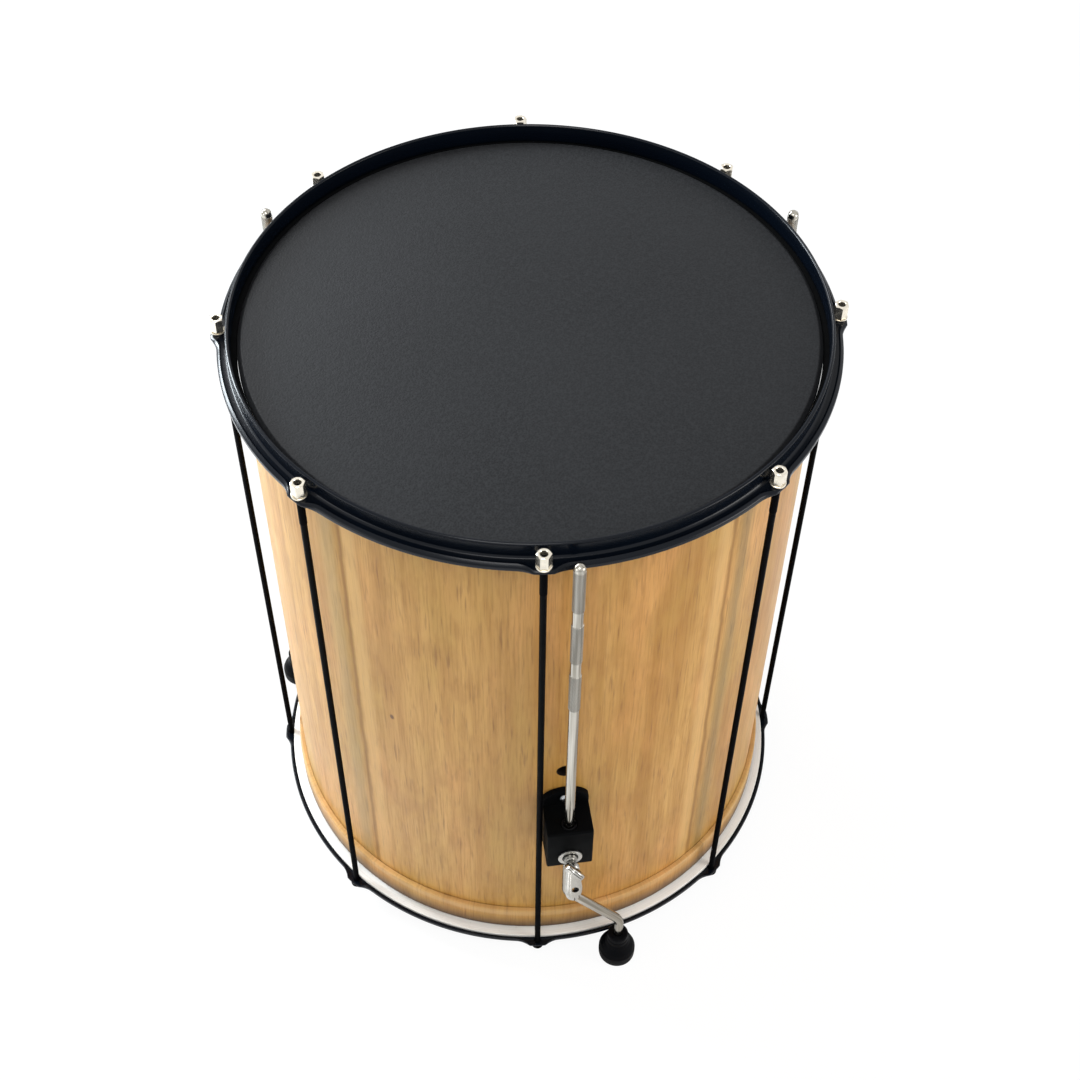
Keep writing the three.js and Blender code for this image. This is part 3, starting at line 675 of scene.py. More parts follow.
# %% [markdown]
# ## The counterhoops
# A counterhoop is pressed from one strip of steel: an upright rim with a rolled bead, a
# flat seat, and a crest that rolls over into a turned-down lip. At each rod the crest is
# pressed flat and the lip swings out into an ear. That is a rule, so Geometry Nodes can
# make it: every vertex carries its place in the plain section and in the ear section, and
# the tree mixes the two by the distance to the nearest rod.

# %% Tree helpers
def new_tree(name, inputs):
    """A Geometry Nodes tree with named inputs. Returns it, its input node and their identifiers."""
    tree = bpy.data.node_groups.new(name, "GeometryNodeTree")
    for way in ("OUTPUT", "INPUT"):
        tree.interface.new_socket(name="Geometry", in_out=way, socket_type="NodeSocketGeometry")
    identifiers = {}
    for label, (kind, default) in inputs.items():
        socket = tree.interface.new_socket(name=label, in_out="INPUT", socket_type="NodeSocket" + kind)
        if default is not None:
            socket.default_value = default
        identifiers[label] = socket.identifier
    return tree, tree.nodes.new("NodeGroupInput").outputs, identifiers


def end_tree(tree, geometry, material):
    """The end of every tree: real copies, the finish, and the output."""
    real = add_node(tree, "GeometryNodeRealizeInstances", {"Geometry": geometry}).outputs["Geometry"]
    finished = add_node(tree, "GeometryNodeSetMaterial", {"Geometry": real, "Material": material})
    add_node(tree, "NodeGroupOutput", {"Geometry": finished.outputs["Geometry"]})


def fill_inputs(modifier, identifiers, **values):
    for label, value in values.items():
        modifier[identifiers[label.replace("_", " ").capitalize()]] = value

print("tree helpers are ready")

# %% Hoop tree
EAR_FLAT = 6.8
EAR_HALF_LENGTH = 20.0


def hoop_tree():
    tree, given, identifiers = new_tree("eared_hoop", {
        "Rods": ("Float", 8.0), "Rod circle": ("Float", 0.245), "Ear flat": ("Float", 0.0068),
        "Ear half length": ("Float", 0.020), "Paint": ("Material", None),
    })

    def stored(name, kind):
        return add_node(tree, "GeometryNodeInputNamedAttribute", {"Name": name}, data_type=kind).outputs["Attribute"]

    turnwise, plain, eared = stored("turn", "FLOAT"), stored("plain", "FLOAT_VECTOR"), stored("eared", "FLOAT_VECTOR")
    period = math_node(tree, "DIVIDE", math.tau, given["Rods"])
    nearest = math_node(tree, "ROUND", math_node(tree, "DIVIDE", turnwise, period))
    apart = math_node(tree, "SUBTRACT", turnwise, math_node(tree, "MULTIPLY", nearest, period))
    away = math_node(tree, "MULTIPLY", math_node(tree, "ABSOLUTE", apart), given["Rod circle"])
    past_flat = math_node(tree, "SUBTRACT", away, given["Ear flat"])
    slope = math_node(tree, "SUBTRACT", given["Ear half length"], given["Ear flat"])
    share = math_node(tree, "DIVIDE", past_flat, slope, clamp=True)
    weight = math_node(tree, "POWER", math_node(tree, "SUBTRACT", 1.0, share), 2.0)
    section = add_node(tree, "ShaderNodeMix", {0: weight, 4: plain, 5: eared}, data_type="VECTOR").outputs[1]
    parts = add_node(tree, "ShaderNodeSeparateXYZ", {"Vector": section}).outputs
    forward = math_node(tree, "MULTIPLY", parts["X"], -1.0)
    place = add_node(tree, "ShaderNodeCombineXYZ", {
        "X": math_node(tree, "MULTIPLY", parts["X"], math_node(tree, "SINE", turnwise)),
        "Y": math_node(tree, "MULTIPLY", forward, math_node(tree, "COSINE", turnwise)), "Z": parts["Z"],
    }).outputs["Vector"]
    bent = add_node(tree, "GeometryNodeSetPosition", {"Geometry": given["Geometry"], "Position": place})
    end_tree(tree, bent.outputs["Geometry"], given["Paint"])
    return tree, identifiers

eared_hoop, hoop_inputs = hoop_tree()
print("hoop tree has", len(eared_hoop.nodes), "nodes")

# %% [markdown]
# The two sections are outlines with the same corners in the same order, so every point
# of one has its partner in the other. Both share the rim; only the lip moves.

# %% Hoop sections
RIM_INSIDE = 234.7
RIM_RISE = 13.0
BEAD = 0.9
COVE = 1.6


def hoop_section(lip, lip_depth, shoulder, crest, inset):
    """The hoop's outline in millimetres. The heights are counted from the flat seat."""
    rim, under, lip_low = RIM_INSIDE + HOOP_STEEL, HOOP_SEAT - HOOP_STEEL, HOOP_SEAT - lip_depth
    bead_middle = RIM_RISE - 1.4
    return rounded([
        (lip - HOOP_STEEL, lip_low, 0.5), (lip, lip_low, 0.8),
        (lip, HOOP_SEAT - shoulder, 1.9), (lip - inset, HOOP_SEAT + crest, 1.6),
        ((rim + COVE + lip) / 2, HOOP_SEAT, 1.2), (rim + COVE, HOOP_SEAT, 1.6), (rim, HOOP_SEAT + COVE, 1.6),
        (rim, RIM_RISE - 2.8, 0.6), (rim + BEAD, bead_middle, 0.9), (rim - BEAD, RIM_RISE, 1.1),
        (RIM_INSIDE, bead_middle, 0.9), (RIM_INSIDE, under, 0.9), (lip - HOOP_STEEL, under, 1.2),
    ], 0.8, 4)


plain_section = hoop_section(245.92, 5.2, 1.2, 1.1, 2.8)
ear_section = hoop_section(250.94, 2.6, 1.3, 0.0, 1.9)
print("both sections have", len(plain_section), "=", len(ear_section), "points")

# %% Bent hoops
HOOP_STATIONS = 432
ROD_HOLE_RADIUS = 3.25


def hoop_blank(name):
    """The hoop without ears. Its attributes tell the tree where each vertex can go."""
    count = len(plain_section)
    verts, faces = [], []
    values = {"turn": [], "plain": [], "eared": []}
    for i in range(HOOP_STATIONS):
        angle = math.tau * i / HOOP_STATIONS
        near, far = i * count, ((i + 1) % HOOP_STATIONS) * count
        for j, ((r, z), (ear_r, ear_z)) in enumerate(zip(plain_section, ear_section)):
            verts.append((r * MM * math.sin(angle), -r * MM * math.cos(angle), z * MM))
            values["turn"].append(angle)
            values["plain"] += [r * MM, 0.0, z * MM]
            values["eared"] += [ear_r * MM, 0.0, ear_z * MM]
            k = (j + 1) % count
            faces.append((near + j, near + k, far + k, far + j))
    hoop = new_piece(name, verts, faces)
    hoop.data.attributes.new("turn", "FLOAT", "POINT").data.foreach_set("value", values["turn"])
    for label in ("plain", "eared"):
        hoop.data.attributes.new(label, "FLOAT_VECTOR", "POINT").data.foreach_set("vector", values[label])
    return hoop


def rod_hole(i):
    plug = [(0, -7), (ROD_HOLE_RADIUS, -7), (ROD_HOLE_RADIUS, 2), (0, 2)]
    return moved(turned("rod_hole", plug, 24, (0, -ROD_CIRCLE)), Matrix.Rotation(math.tau * i / ROD_COUNT, 4, "Z"))


def counterhoop(name):
    hoop = hoop_blank(name)
    bender = hoop.modifiers.new("ears", "NODES")
    bender.node_group = eared_hoop
    fill_inputs(
        bender, hoop_inputs, rods=float(ROD_COUNT), rod_circle=ROD_CIRCLE * MM,
        ear_flat=EAR_FLAT * MM, ear_half_length=EAR_HALF_LENGTH * MM, paint=black_paint)
    plain_mesh(hoop)
    for label in ("turn", "plain", "eared"):
        hoop.data.attributes.remove(hoop.data.attributes[label])
    return smoothed(combine(smoothed(hoop), [rod_hole(i) for i in range(ROD_COUNT)]), 40)

dress(counterhoop("batter_counterhoop"), black_paint, "drum", "hoop_paint", "batter_hoop")
dress(moved(counterhoop("resonant_counterhoop"), TURN_OVER), black_paint, "drum", "hoop_paint", "resonant_hoop")

# %% [markdown]
# ## Pieces that repeat round the drum
# Rods, washers, nuts and screws repeat. Each is modelled once, in place at the front of
# the drum, and a small tree turns copies of it about the drum's axis. What belongs to one
# body becomes one mesh; each nut turns by itself, so it gets a mesh of its own.

# %% Ring tree
def ring_tree():
    tree, given, identifiers = new_tree("copies_round_the_drum", {
        "Count": ("Int", 8), "First azimuth": ("Float", 0.0), "Step": ("Float", math.tau / 8),
        "Finish": ("Material", None),
    })
    points = add_node(tree, "GeometryNodeMeshLine", {"Count": given["Count"], "Offset": (0, 0, 0)})
    index = add_node(tree, "GeometryNodeInputIndex").outputs["Index"]
    angle = math_node(tree, "MULTIPLY_ADD", index, given["Step"], given["First azimuth"])
    turned_by = add_node(tree, "ShaderNodeCombineXYZ", {"Z": angle}).outputs["Vector"]
    copies = add_node(tree, "GeometryNodeInstanceOnPoints", {
        "Points": points.outputs["Mesh"], "Instance": given["Geometry"], "Rotation": turned_by,
    })
    end_tree(tree, copies.outputs["Instances"], given["Finish"])
    return tree, identifiers

drum_ring, ring_inputs = ring_tree()


def copied_round(pattern, name, material, count=1, first=0.0):
    """Copies of one piece turned about the drum's axis, as one plain mesh."""
    piece = pattern.copy()
    piece.data = pattern.data.copy()
    piece.name = name
    bpy.context.collection.objects.link(piece)
    spread = piece.modifiers.new("ring", "NODES")
    spread.node_group = drum_ring
    fill_inputs(
        spread, ring_inputs, count=count, first_azimuth=math.radians(first),
        step=math.tau / ROD_COUNT, finish=material)
    return plain_mesh(piece)

print("ring tree has", len(drum_ring.nodes), "nodes")

# %% Tension rods
ROD_HEAD_RADIUS = 5.7
THREAD_RADIUS = 3.0

rod_seat = -HEAD_SPAN - HOOP_SEAT - GAP
rod_profile = rounded([
    (0, rod_seat - 4.4, 0), (ROD_HEAD_RADIUS, rod_seat - 4.4, 1.1), (ROD_HEAD_RADIUS, rod_seat, 0.4),
    (ROD_RADIUS, rod_seat, 0.2), (ROD_RADIUS, -34.0, 0), (THREAD_RADIUS, -33.0, 0.4), (THREAD_RADIUS, -9.4, 0.4),
    (ROD_RADIUS, -8.8, 0), (ROD_RADIUS, 7.2, 0.6), (0, 7.8, 0),
], 0.5, 3, closed=False)
rod_pattern = turned("rod_pattern", rod_profile, 20, (0, -ROD_CIRCLE))
tension_rods = copied_round(rod_pattern, "tension_rods", rod_paint, ROD_COUNT)
dress(tension_rods, rod_paint, "drum", "rod_paint", *[f"tension_rod_{i + 1}" for i in range(ROD_COUNT)])

# %% Tuning washers
WASHER_HOLE = 3.3
WASHER_RADIUS = 6.22

washer_low = HOOP_SEAT + GAP
washer_top = washer_low + 1.2
washer_profile = rounded([
    (WASHER_HOLE, washer_low), (WASHER_RADIUS, washer_low), (WASHER_RADIUS, washer_top), (WASHER_HOLE, washer_top),
], 0.35, 2)
washer_pattern = turned("washer_pattern", washer_profile, 36, (0, -ROD_CIRCLE))
tuning_washers = copied_round(washer_pattern, "tuning_washers", nickel_plate, ROD_COUNT)
dress(tuning_washers, nickel_plate, "drum", "nickel", *[f"tuning_washer_{i + 1}" for i in range(ROD_COUNT)])

# %% [markdown]
# ## The tuning nuts
# Each nut is a tall hexagon whose corners are turned down at both ends. Crossing a
# hexagonal prism with a turned, chamfered blank gives the curved edges that a real nut
# has, and a bore is cut through it.

# %% Tuning nuts
NUT_ACROSS_FLATS = 10.0
NUT_LENGTH = 12.2


def slab(name, outline, low, high):
    """An outline in millimetres, given counter-clockwise, as a solid between two heights."""
    count = len(outline)
    verts = [(x * MM, y * MM, z * MM) for z in (low, high) for x, y in outline]
    faces = [tuple(range(count - 1, -1, -1)), tuple(range(count, 2 * count))]
    faces += [(i, (i + 1) % count, (i + 1) % count + count, i + count) for i in range(count)]
    return new_piece(name, verts, faces)


def tuning_nut_pattern():
    low = washer_top + GAP
    high = low + NUT_LENGTH
    corner = NUT_ACROSS_FLATS / math.sqrt(3)
    angles = [math.radians(60 * i) for i in range(6)]
    hexagon = [(corner * math.cos(a), corner * math.sin(a) - ROD_CIRCLE) for a in angles]
    bar = smoothed(slab("nut_pattern", hexagon, low, high), 20)
    blank = turned("nut_blank", [
        (0, low), (5.0, low), (5.85, low + 0.5), (5.85, high - 0.7), (4.7, high), (0, high),
    ], 72, (0, -ROD_CIRCLE))
    combine(bar, [blank], "INTERSECT")
    bore = ROD_RADIUS + GAP
    drill = [(0, -3), (bore, -3), (bore, high - 0.4), (bore + 0.35, high + 0.1), (0, high + 0.1)]
    return smoothed(combine(bar, [turned("nut_bore", drill, 32, (0, -ROD_CIRCLE))]), 20)

nut_pattern = tuning_nut_pattern()
for i in range(ROD_COUNT):
    nut = copied_round(nut_pattern, f"tuning_nut_body_{i + 1}", nickel_plate, 1, 360 / ROD_COUNT * i)
    dress(nut, nickel_plate, f"tuning_nut_{i + 1}", "nickel", f"tuning_nut_{i + 1}")

for pattern in (rod_pattern, washer_pattern, nut_pattern):
    bpy.data.objects.remove(pattern)

# %% [markdown]
# ## The legs
# A leg is one steel rod. It is domed at the top, knurled in three bands so that the wing
# screw bites, straight through the bracket, and then cranked out to its rubber foot. The
# rod is a circle carried along its own path. The path is also written to the UV map, and
# a knurl attribute marks the bands for the chrome finish.

# %% Leg path
CRANK_THROW = 51.5
CRANK_LEAN = math.radians(37)
BEND_RADIUS = 24.0
LEG_TOP = 7.5
LEG_RADIUS = 4.4
KNURL_RADIUS = 4.75
KNURL_LENGTH = 45.7
KNURL_GAP = 16.5


def leg_place(degrees):
    """From the leg's own upright axis, with the crank towards +X, to its place on the drum."""
    return Matrix.Rotation(math.radians(degrees), 4, "Z") @ Matrix.Translation((0, -LEG_CIRCLE * MM, 0))


def leg_stations():
    """(x, z, lean, radius, knurled) down the rod, in millimetres and radians."""
    dome, slope = 3.6, 0.6
    rows = []
    for k in range(7):
        angle = math.radians(90 - 15 * k)
        rows.append((0, LEG_TOP - dome + dome * math.sin(angle), 0, max(LEG_RADIUS * math.cos(angle), 0.25), 0))
    for k in range(3):
        high = LEG_TOP - 5.5 - k * (KNURL_LENGTH + KNURL_GAP)
        low = high - KNURL_LENGTH
        rows += [(0, high, 0, LEG_RADIUS, 0), (0, high - slope, 0, KNURL_RADIUS, 1)]
        rows += [(0, low + slope, 0, KNURL_RADIUS, 1), (0, low, 0, LEG_RADIUS, 0)]
    tangent = BEND_RADIUS * math.tan(CRANK_LEAN / 2)
    lower_bend = FLOOR_HEIGHT + 66
    upper_bend = lower_bend + CRANK_THROW / math.tan(CRANK_LEAN)
    for k in range(11):
        lean = CRANK_LEAN * k / 10
        out, down = BEND_RADIUS * (1 - math.cos(lean)), BEND_RADIUS * math.sin(lean)
        rows.append((out, upper_bend + tangent - down, lean, LEG_RADIUS, 0))
    for k in range(10, -1, -1):
        lean = CRANK_LEAN * k / 10
        out, down = BEND_RADIUS * (1 - math.cos(lean)), BEND_RADIUS * math.sin(lean)
        rows.append((CRANK_THROW - out, lower_bend - tangent + down, lean, LEG_RADIUS, 0))
    rows.append((CRANK_THROW, FLOOR_HEIGHT + 15.8, 0, LEG_RADIUS, 0))
    return rows

print("a leg has", len(leg_stations()), "stations")

# %% Leg rods
def leg_rod_piece(name, sides=32):
    verts, knurls, lengths = [], [], []
    run, last = 0.0, None
    for x, z, lean, radius, knurled in leg_stations():
        here = Vector((x, 0, z))
        run += (here - last).length if last else 0.0
        last = here
        leaning = Vector((math.cos(lean), 0, math.sin(lean)))
        for i in range(sides):
            angle = math.tau * i / sides
            side = leaning * math.cos(angle) + Vector((0, 1, 0)) * math.sin(angle)
            verts.append((here + radius * side) * MM)
            knurls.append(float(knurled))
            lengths.append(run * MM)
    faces = [tuple(range(sides)), tuple(range(len(verts) - 1, len(verts) - sides - 1, -1))]
    for row in range(0, len(verts) - sides, sides):
        for i in range(sides):
            j = (i + 1) % sides
            faces.append((row + i, row + sides + i, row + sides + j, row + j))
    rod = new_piece(name, verts, faces)
    rod.data.attributes.new("knurl", "FLOAT", "POINT").data.foreach_set("value", knurls)
    layer = rod.data.uv_layers.new(name="Unrolled")
    for face in rod.data.polygons:
        around = [rod.data.loops[n].vertex_index % sides for n in face.loop_indices]
        wrap = max(around) - min(around) > 1 and len(around) == 4
        for n, i in zip(face.loop_indices, around):
            share = (i + sides if wrap and i == 0 else i) / sides
            layer.data[n].uv = (share * KNURLS_ROUND * KNURL_PITCH, lengths[rod.data.loops[n].vertex_index])
    return smoothed(rod, 30)

for name, degrees in LEG_DEGREES.items():
    rod = moved(leg_rod_piece(f"{name}_leg_shaft"), leg_place(degrees))
    dress(rod, chrome_plate, f"{name}_leg", "leg_chrome", f"{name}_leg_rod")

# %% [markdown]
# ## The rubber feet
# Each foot is a moulded cone that grips the rod's end and swells to a round, soft base.
# A fine groove near the neck is what the mould leaves. The profile starts under the foot
# and ends in the socket for the rod, with heights counted from the floor.

# %% Feet
FOOT_HEIGHT = 40.5
FOOT_SOCKET = 15.5

foot_profile = rounded([(radius, FLOOR_HEIGHT + height, size) for radius, height, size in (
    (0, 0, 0), (14.2, 0, 0.6), (15.5, 0.5, 0.9), (17.0, 3.4, 2.2), (17.3, 8.5, 3.0), (17.2, 13.8, 3.0),
    (15.3, 19.0, 4.0), (11.8, 23.9, 4.0), (10.1, 28.3, 3.0), (9.95, 33.0, 0.4), (9.5, 33.4, 0.3), (9.5, 34.0, 0.3),
    (9.85, 34.4, 0.4), (9.6, 39.0, 0.8), (8.8, FOOT_HEIGHT, 0.8), (4.7, FOOT_HEIGHT, 0.4),
    (4.7, FOOT_SOCKET, 0), (0, FOOT_SOCKET, 0),
)], 0.8, 5, closed=False)
for name, degrees in LEG_DEGREES.items():
    foot = moved(turned(f"{name}_rubber_foot", foot_profile, 64, (CRANK_THROW, 0)), leg_place(degrees))
    dress(foot, foot_rubber, f"{name}_leg", "foot_rubber", f"{name}_leg_foot")

# %% [markdown]
# ## The brackets
# A bracket is a plate with arched ends and a block in front of it, cast in one piece and
# powder coated. The plate's back is hollowed to the shell. Outline solids are joined and
# cut with Booleans, and a fine bevel softens the edges, as the coating does.

# %% Bracket
PLATE_FRONT = 234.0
BLOCK_FRONT = 263.97
BLOCK_HALF = 20.0
BLOCK_LOW, BLOCK_TOP = BRACKET_HEIGHT - 26, BRACKET_HEIGHT + 26
SCREW_HEIGHT = BRACKET_HEIGHT - 11
PLATE_SCREWS = {"upper": BRACKET_HEIGHT + 37, "lower": BRACKET_HEIGHT - 37}
ROD_BORE = 6.8


def softened(piece, width, segments=3, limit=30):
    """Rounds the edges over an angle."""
    soft = piece.modifiers.new("soft", "BEVEL")
    soft.width = width * MM
    soft.segments = segments
    soft.limit_method = "ANGLE"
    soft.angle_limit = math.radians(limit)
    return smoothed(plain_mesh(piece), 35)


def arched_outline(half_width, corner, rise_by, steps=14):
    radius = (half_width ** 2 + rise_by ** 2) / (2 * rise_by)
    centre = corner + rise_by - radius
    start = math.atan2(corner - centre, half_width)
    arc = [start + (math.pi - 2 * start) * i / steps for i in range(steps + 1)]
    top = [(radius * math.cos(a), centre + radius * math.sin(a)) for a in arc]
    return top + [(-x, -y) for x, y in top]


def bracket_pattern():
    lift = Matrix.Translation((0, 0, BRACKET_HEIGHT * MM))
    plate_blank = slab("bracket_pattern", arched_outline(BLOCK_HALF, 33.5, 12.5), 206, PLATE_FRONT)
    plate = softened(moved(plate_blank, lift @ OUTWARD), 0.8)
    footprint = [(-BLOCK_HALF, -BLOCK_FRONT), (BLOCK_HALF, -BLOCK_FRONT), (BLOCK_HALF, -226), (-BLOCK_HALF, -226)]
    combine(plate, [softened(slab("block", footprint, BLOCK_LOW, BLOCK_TOP), 1.6, 4)], "UNION")
    hollow, low, high = SHELL_RADIUS + GAP, BLOCK_LOW - 36, BLOCK_TOP + 32
    bore_low, bore_high = BLOCK_LOW - 26, BLOCK_TOP + 22
    cutters = [
        turned("shell_space", [(0, low), (hollow, low), (hollow, high), (0, high)], RING_SIDES),
        turned("rod_bore", [
            (0, bore_low), (ROD_BORE, bore_low), (ROD_BORE, bore_high), (0, bore_high),
        ], 48, (0, -LEG_CIRCLE)),
        turned("mouth", [
            (0, BLOCK_TOP - 1), (ROD_BORE, BLOCK_TOP - 1), (8.0, BLOCK_TOP + 0.4), (0, BLOCK_TOP + 0.4),
        ], 48, (0, -LEG_CIRCLE)),
        radial_plug("screw_bore", 4.3, 250, 270, SCREW_HEIGHT, 0),
    ]
    cutters += [radial_plug("plate_bore", 3.2, 200, 240, height, 0, 24) for height in PLATE_SCREWS.values()]
    return smoothed(combine(plate, cutters), 35)

bracket_form = bracket_pattern()
for name, degrees in LEG_DEGREES.items():
    bracket = copied_round(bracket_form, f"{name}_bracket_casting", powder_coat, 1, degrees)
    dress(bracket, powder_coat, "drum", "bracket_coat", f"{name}_leg_bracket")

# %% [markdown]
# ## Bush, screws and washers of the bracket
# A split plastic bush lines the block, so that the wing screw squeezes the rod without
# scarring it. Two pan-head screws with a cross recess hold the plate, and a washer lies
# under the wing screw. A shallow cut makes a ring round its hole, painted dark as shade
# round the foot of the wing screw's collar.

# %% Bush
def split_bush(name):
    inner, outer, slit, steps = 5.05, 6.5, 1.0, 48
    outline = []
    for radius, turns in ((outer, range(steps + 1)), (inner, range(steps, -1, -1))):
        edge = math.asin(slit / radius)
        for k in turns:
            angle = edge + (math.tau - 2 * edge) * k / steps
            outline.append((radius * math.cos(angle), radius * math.sin(angle)))
    return softened(slab(name, outline, BLOCK_LOW, BLOCK_TOP), 0.3, 2, 50)

for name, degrees in LEG_DEGREES.items():
    bush = moved(split_bush(f"{name}_split_bush"), leg_place(degrees))
    dress(bush, bush_plastic, f"{name}_leg_bush", "bush_plastic", f"{name}_leg_bush")

# %% Plate screws
def plate_screw(height):
    seat = PLATE_FRONT + GAP
    screw = turned("plate_screw", rounded([
        (0, seat - 20.4, 0), (2.8, seat - 20.4, 0.4), (2.8, seat, 0), (5.2, seat, 0.3),
        (5.2, seat + 1.3, 1.0), (3.6, seat + 3.0, 1.2), (0, seat + 3.0, 0),
    ], 0.5, 4, closed=False), 32)
    for degrees in (20, 110):
        slot = slab("recess", [(-0.6, -2.6), (0.6, -2.6), (0.6, 2.6), (-0.6, 2.6)], seat + 1.3, seat + 3.7)
        combine(screw, [moved(slot, Matrix.Rotation(math.radians(degrees), 4, "Z"))])
    return smoothed(moved(screw, Matrix.Translation((0, 0, height * MM)) @ OUTWARD), 30)


for place, height in PLATE_SCREWS.items():
    pattern = plate_screw(height)
    for name, degrees in LEG_DEGREES.items():
        screw = copied_round(pattern, f"{name}_{place}_plate_screw", zinc_plate, 1, degrees)
        dress(screw, zinc_plate, "drum", "zinc", f"{name}_{place}_bracket_screw")
    bpy.data.objects.remove(pattern)

# %% Wing screw washers
CLAMP_WASHER_LOW = BLOCK_FRONT + GAP
CLAMP_WASHER_TOP = CLAMP_WASHER_LOW + 1.6
LIFT_SCREW = Matrix.Translation((0, 0, SCREW_HEIGHT * MM)) @ OUTWARD


def forged(piece, low=-1.0):
    """Marks the faces above a height before anything is cut. The finish leaves the others dark."""
    layer = piece.data.uv_layers.new(name="Forged")
    for face in piece.data.polygons:
        if face.center.z > low:
            for corner in face.loop_indices:
                layer.data[corner].uv = (1, 1)
    return piece


clamp_profile = rounded([
    (4.5, CLAMP_WASHER_LOW), (10.5, CLAMP_WASHER_LOW), (10.5, CLAMP_WASHER_TOP), (4.5, CLAMP_WASHER_TOP),
], 0.45, 3)
# The ring round the washer's hole is cut shallow and painted dark as shade round the collar's foot.
shade_ring_low, shade_ring_high = CLAMP_WASHER_TOP - 0.37, CLAMP_WASHER_TOP + 0.63
painted_shade_ring = turned("painted_shade_ring", [(5.0, shade_ring_low), (7.1, shade_ring_low), (7.1, shade_ring_high), (5.0, shade_ring_high)], 48)
clamp_washer = combine(forged(turned("clamp_washer", clamp_profile, 48)), [painted_shade_ring])
smoothed(moved(clamp_washer, LIFT_SCREW))
for name, degrees in LEG_DEGREES.items():
    washer = copied_round(clamp_washer, f"{name}_clamp_washer", cast_chrome, 1, degrees)
    dress(washer, cast_chrome, "drum", "leg_chrome", f"{name}_wing_screw_washer")

# %% [markdown]
# ## The wing screws
# A wing screw is a drop forging: a collar, a short neck, a rounded hub and two wings set
# at a slant, each with an eyelet. The wings are outlines with soft edges, joined to the
# turned core. Two lines run across the end of the upper wing, and two short notches cross
# the end of the lower one. The collar is dark, and all that was cut is painted dark as shade.

# %% Wings
WING_ROOT, WING_WIDTH, WING_LENGTH, WING_HALF_THICKNESS = 11.0, 19.0, 29.6, 2.75


def wing_outline(steps=18):
    half = WING_WIDTH / 2
    side = [(WING_ROOT / 2, 0), (half - 0.6, WING_LENGTH - half * 1.5)]
    angles = [math.pi * k / steps for k in range(steps + 1)]
    arc = [(half * math.cos(a), WING_LENGTH - half + half * math.sin(a)) for a in angles]
    return side + arc + [(-x, y) for x, y in reversed(side)]


def wing(name, lined):
    """One wing. A lined tip has two lines across it, a plain one has two short notches."""
    blade = softened(slab(name, wing_outline(), -WING_HALF_THICKNESS, WING_HALF_THICKNESS), 1.4, 4)
    eyelet = turned("eyelet", [(0, -4), (3.8, -4), (3.8, 4), (0, 4)], 32)
    slanted = Matrix(((1.35, 0.08, 0, 0), (0.33, 0.62, 0, 0), (0, 0, 1, 0), (0, 0, 0, 1)))
    cutters = [moved(eyelet, Matrix.Translation((-1.2 * MM, 19.8 * MM, 0)) @ slanted)]
    cut_low, cut_high = WING_LENGTH - 3.4, WING_LENGTH + 3.4
    for side in (-1, 1):
        if lined:
            left, right, back, front = -8.2, 8.2, side * 0.95 - 0.28, side * 0.95 + 0.28
        else:
            left, right, back, front = side * 3.1 - 0.45, side * 3.1 + 0.45, -4, 4
        groove = [(left, cut_low), (right, cut_low), (right, cut_high), (left, cut_high)]
        cutters.append(slab("groove", groove, back, front))
    # The faces that the eyelet and the grooves open are painted dark as shade.
    return combine(forged(blade), cutters)

print("a wing's outline has", len(wing_outline()), "points")

# %% Wing screws
WING_SPREAD = math.radians(50)
WING_TWIST = math.radians(45)


def wing_screw_pattern():
    collar = CLAMP_WASHER_TOP + GAP
    hub = collar + 5.6
    core = turned("wing_screw_pattern", rounded([
        (0, BLOCK_FRONT - 3.7, 0), (4.0, BLOCK_FRONT - 3.7, 0.5), (4.0, collar, 0), (6.0, collar, 0.4),
        (6.0, collar + 2.4, 0.5), (4.0, collar + 2.4, 0.4), (4.0, hub, 1.0), (6.5, hub + 2.1, 1.6),
        (6.5, hub + 6.0, 1.6), (3.9, hub + 8.5, 2.0), (0, hub + 8.5, 0),
    ], 0.6, 5, closed=False), 48)
    along = Vector((0, -math.sin(WING_SPREAD), math.cos(WING_SPREAD)))
    upright = Vector((0, math.cos(WING_SPREAD), math.sin(WING_SPREAD)))
    across = Vector((math.cos(WING_TWIST), 0, 0)) - upright * math.sin(WING_TWIST)
    slant = Matrix((across, along, across.cross(along))).transposed().to_4x4()
    at_hub = Matrix.Translation((0, 0, (hub + 8.5 * 0.35) * MM))
    lower = moved(wing("lower_wing", False), at_hub @ slant)
    upper = moved(wing("upper_wing", True), at_hub @ Matrix.Rotation(math.pi, 4, "Z") @ slant)
    combine(forged(core, (collar + 2.5) * MM), [lower, upper], "UNION")
    return smoothed(moved(core, LIFT_SCREW), 35)

wing_form = wing_screw_pattern()
for name, degrees in LEG_DEGREES.items():
    screw = copied_round(wing_form, f"{name}_wing_screw_forging", cast_chrome, 1, degrees)
    dress(screw, cast_chrome, f"{name}_wing_screw", "leg_chrome", f"{name}_wing_screw")

for pattern in (bracket_form, clamp_washer, wing_form):
    bpy.data.objects.remove(pattern)

# %% [markdown]
# ## What stays as CAD
# The tapped backing plates sit inside the shell. Their CAD shape is right, so they only
# get a finish.

# %% Backing plates
for name in LEG_DEGREES:
    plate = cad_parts[f"{name}_bracket_backing_plate"]
    plate.data.materials.clear()
    plate.data.materials.append(zinc_plate)
print("backing plates finished")

# %% [markdown]
# ## Floor and background
# The drum stands on a plain pale floor that takes its shadow. To the camera the floor
# glows up to white. The world is a soft studio: it lights the drum evenly, and it looks
# white to the camera, in reflections and through glass.

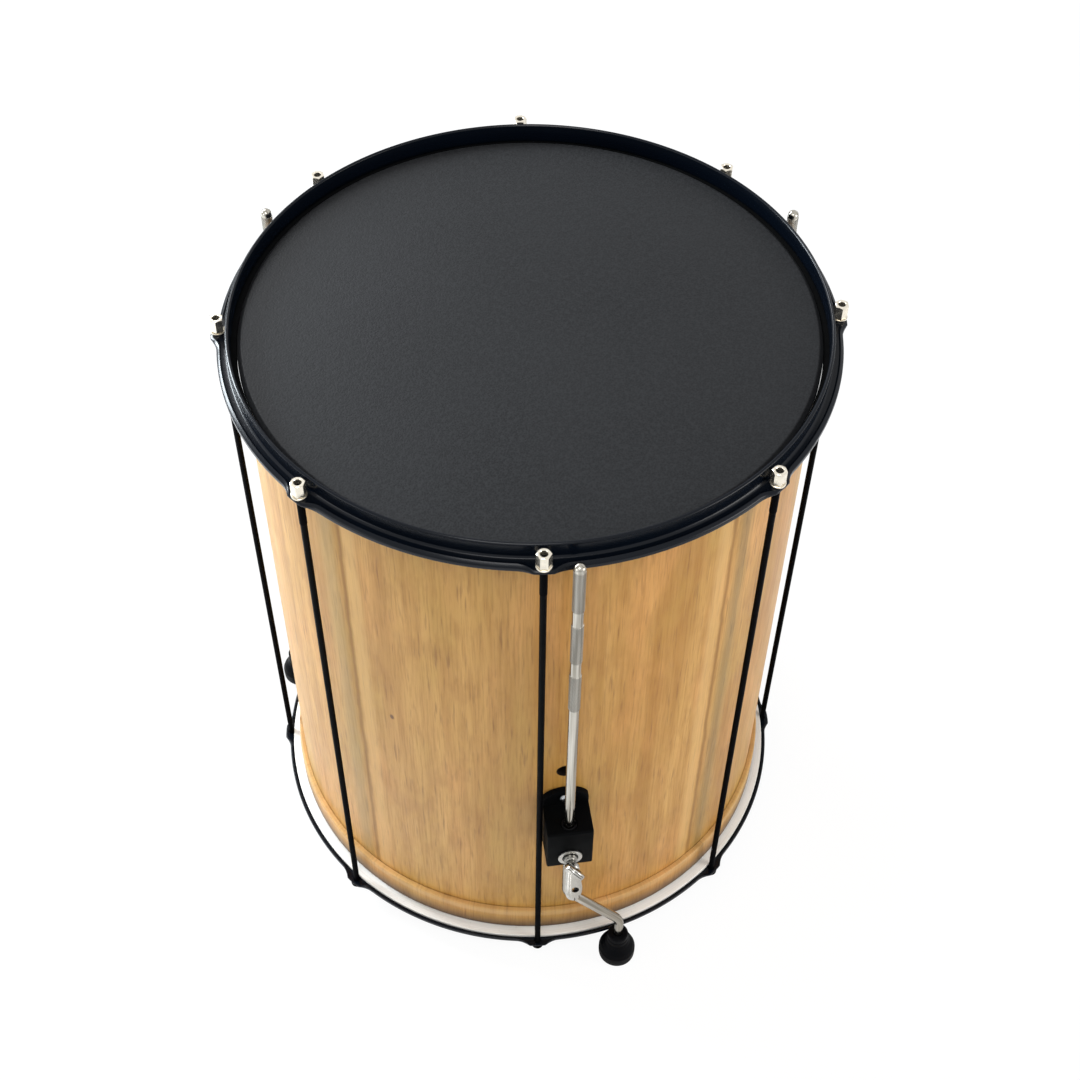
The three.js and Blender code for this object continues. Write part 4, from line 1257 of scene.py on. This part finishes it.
# %% Floor
bpy.ops.mesh.primitive_plane_add(size=12, location=(0, 0, (FLOOR_HEIGHT - 0.2) * MM))
floor = bpy.context.object
floor.name = "floor"
floor_paint, floor_nodes, floor_shader = new_finish("pale_floor", (0.9, 0.9, 0.9, 1.0), 0.9, specular_IOR_level=0.1)
seen = add_node(floor_nodes, "ShaderNodeLightPath").outputs["Is Camera Ray"]
glow = add_node(floor_nodes, "ShaderNodeEmission", {"Color": (1, 1, 1, 1), "Strength": 1.03})
share = math_node(floor_nodes, "MULTIPLY", seen, 0.9)
both = add_node(floor_nodes, "ShaderNodeMixShader", {0: share, 1: floor_shader.outputs[0], 2: glow.outputs[0]})
floor_nodes.links.new(both.outputs[0], floor_nodes.nodes["Material Output"].inputs["Surface"])
floor.data.materials.append(floor_paint)
print("floor lies at", round(floor.location.z, 4))

# %% Studio world
SOFT_LIGHT = 0.34

world = bpy.data.worlds.new("studio")
world.use_nodes = True
bpy.context.scene.world = world
sky = world.node_tree
rays = add_node(sky, "ShaderNodeLightPath").outputs
mirrored = math_node(sky, "MAXIMUM", rays["Is Camera Ray"], rays["Is Glossy Ray"])
direct = math_node(sky, "MAXIMUM", mirrored, rays["Is Transmission Ray"])
sky.nodes["Background"].inputs["Color"].default_value = (1, 1, 1, 1)
sky.links.new(ranged(sky, direct, 0.0, 1.0, SOFT_LIGHT, 1.0), sky.nodes["Background"].inputs["Strength"])
print("world lights at", SOFT_LIGHT)

# %% [markdown]
# ## Lamps
# Two lamps, from the left behind and from high behind, give the metal and the paint their
# long highlights. Two wide ones fill the sides, and one above the front lights the pale
# ring at the foot.

# %% Lamps
def lamp(name, place, target, size, power, colour=(1, 1, 1)):
    light = bpy.data.lights.new(name, "AREA")
    light.size = size
    light.energy = power
    light.color = colour
    made = bpy.data.objects.new(name, light)
    bpy.context.collection.objects.link(made)
    made.location = place
    made.rotation_euler = (Vector(target) - Vector(place)).to_track_quat("-Z", "Y").to_euler()
    return made

lamp("window_lamp", (-1.75, 0.95, 0.55), (0, 0, -0.1), 0.6, 58, (0.86, 0.94, 1.0))
lamp("back_lamp", (-1.3, 2.1, 1.6), (0, 0, -0.05), 0.9, 40, (0.94, 0.97, 1.0))
lamp("left_lamp", (-1.9, -1.0, 0.3), (0, 0, -0.3), 1.0, 8)
lamp("right_lamp", (1.9, -0.9, 0.3), (0, 0, -0.3), 1.0, 24, (1.0, 0.985, 0.96))
lamp("top_lamp", (-0.3, -1.3, 2.2), (0, -0.1, -0.5), 1.0, 22)
bpy.context.scene.view_settings.view_transform = "Standard"
print("lamps:", len(bpy.data.lights))
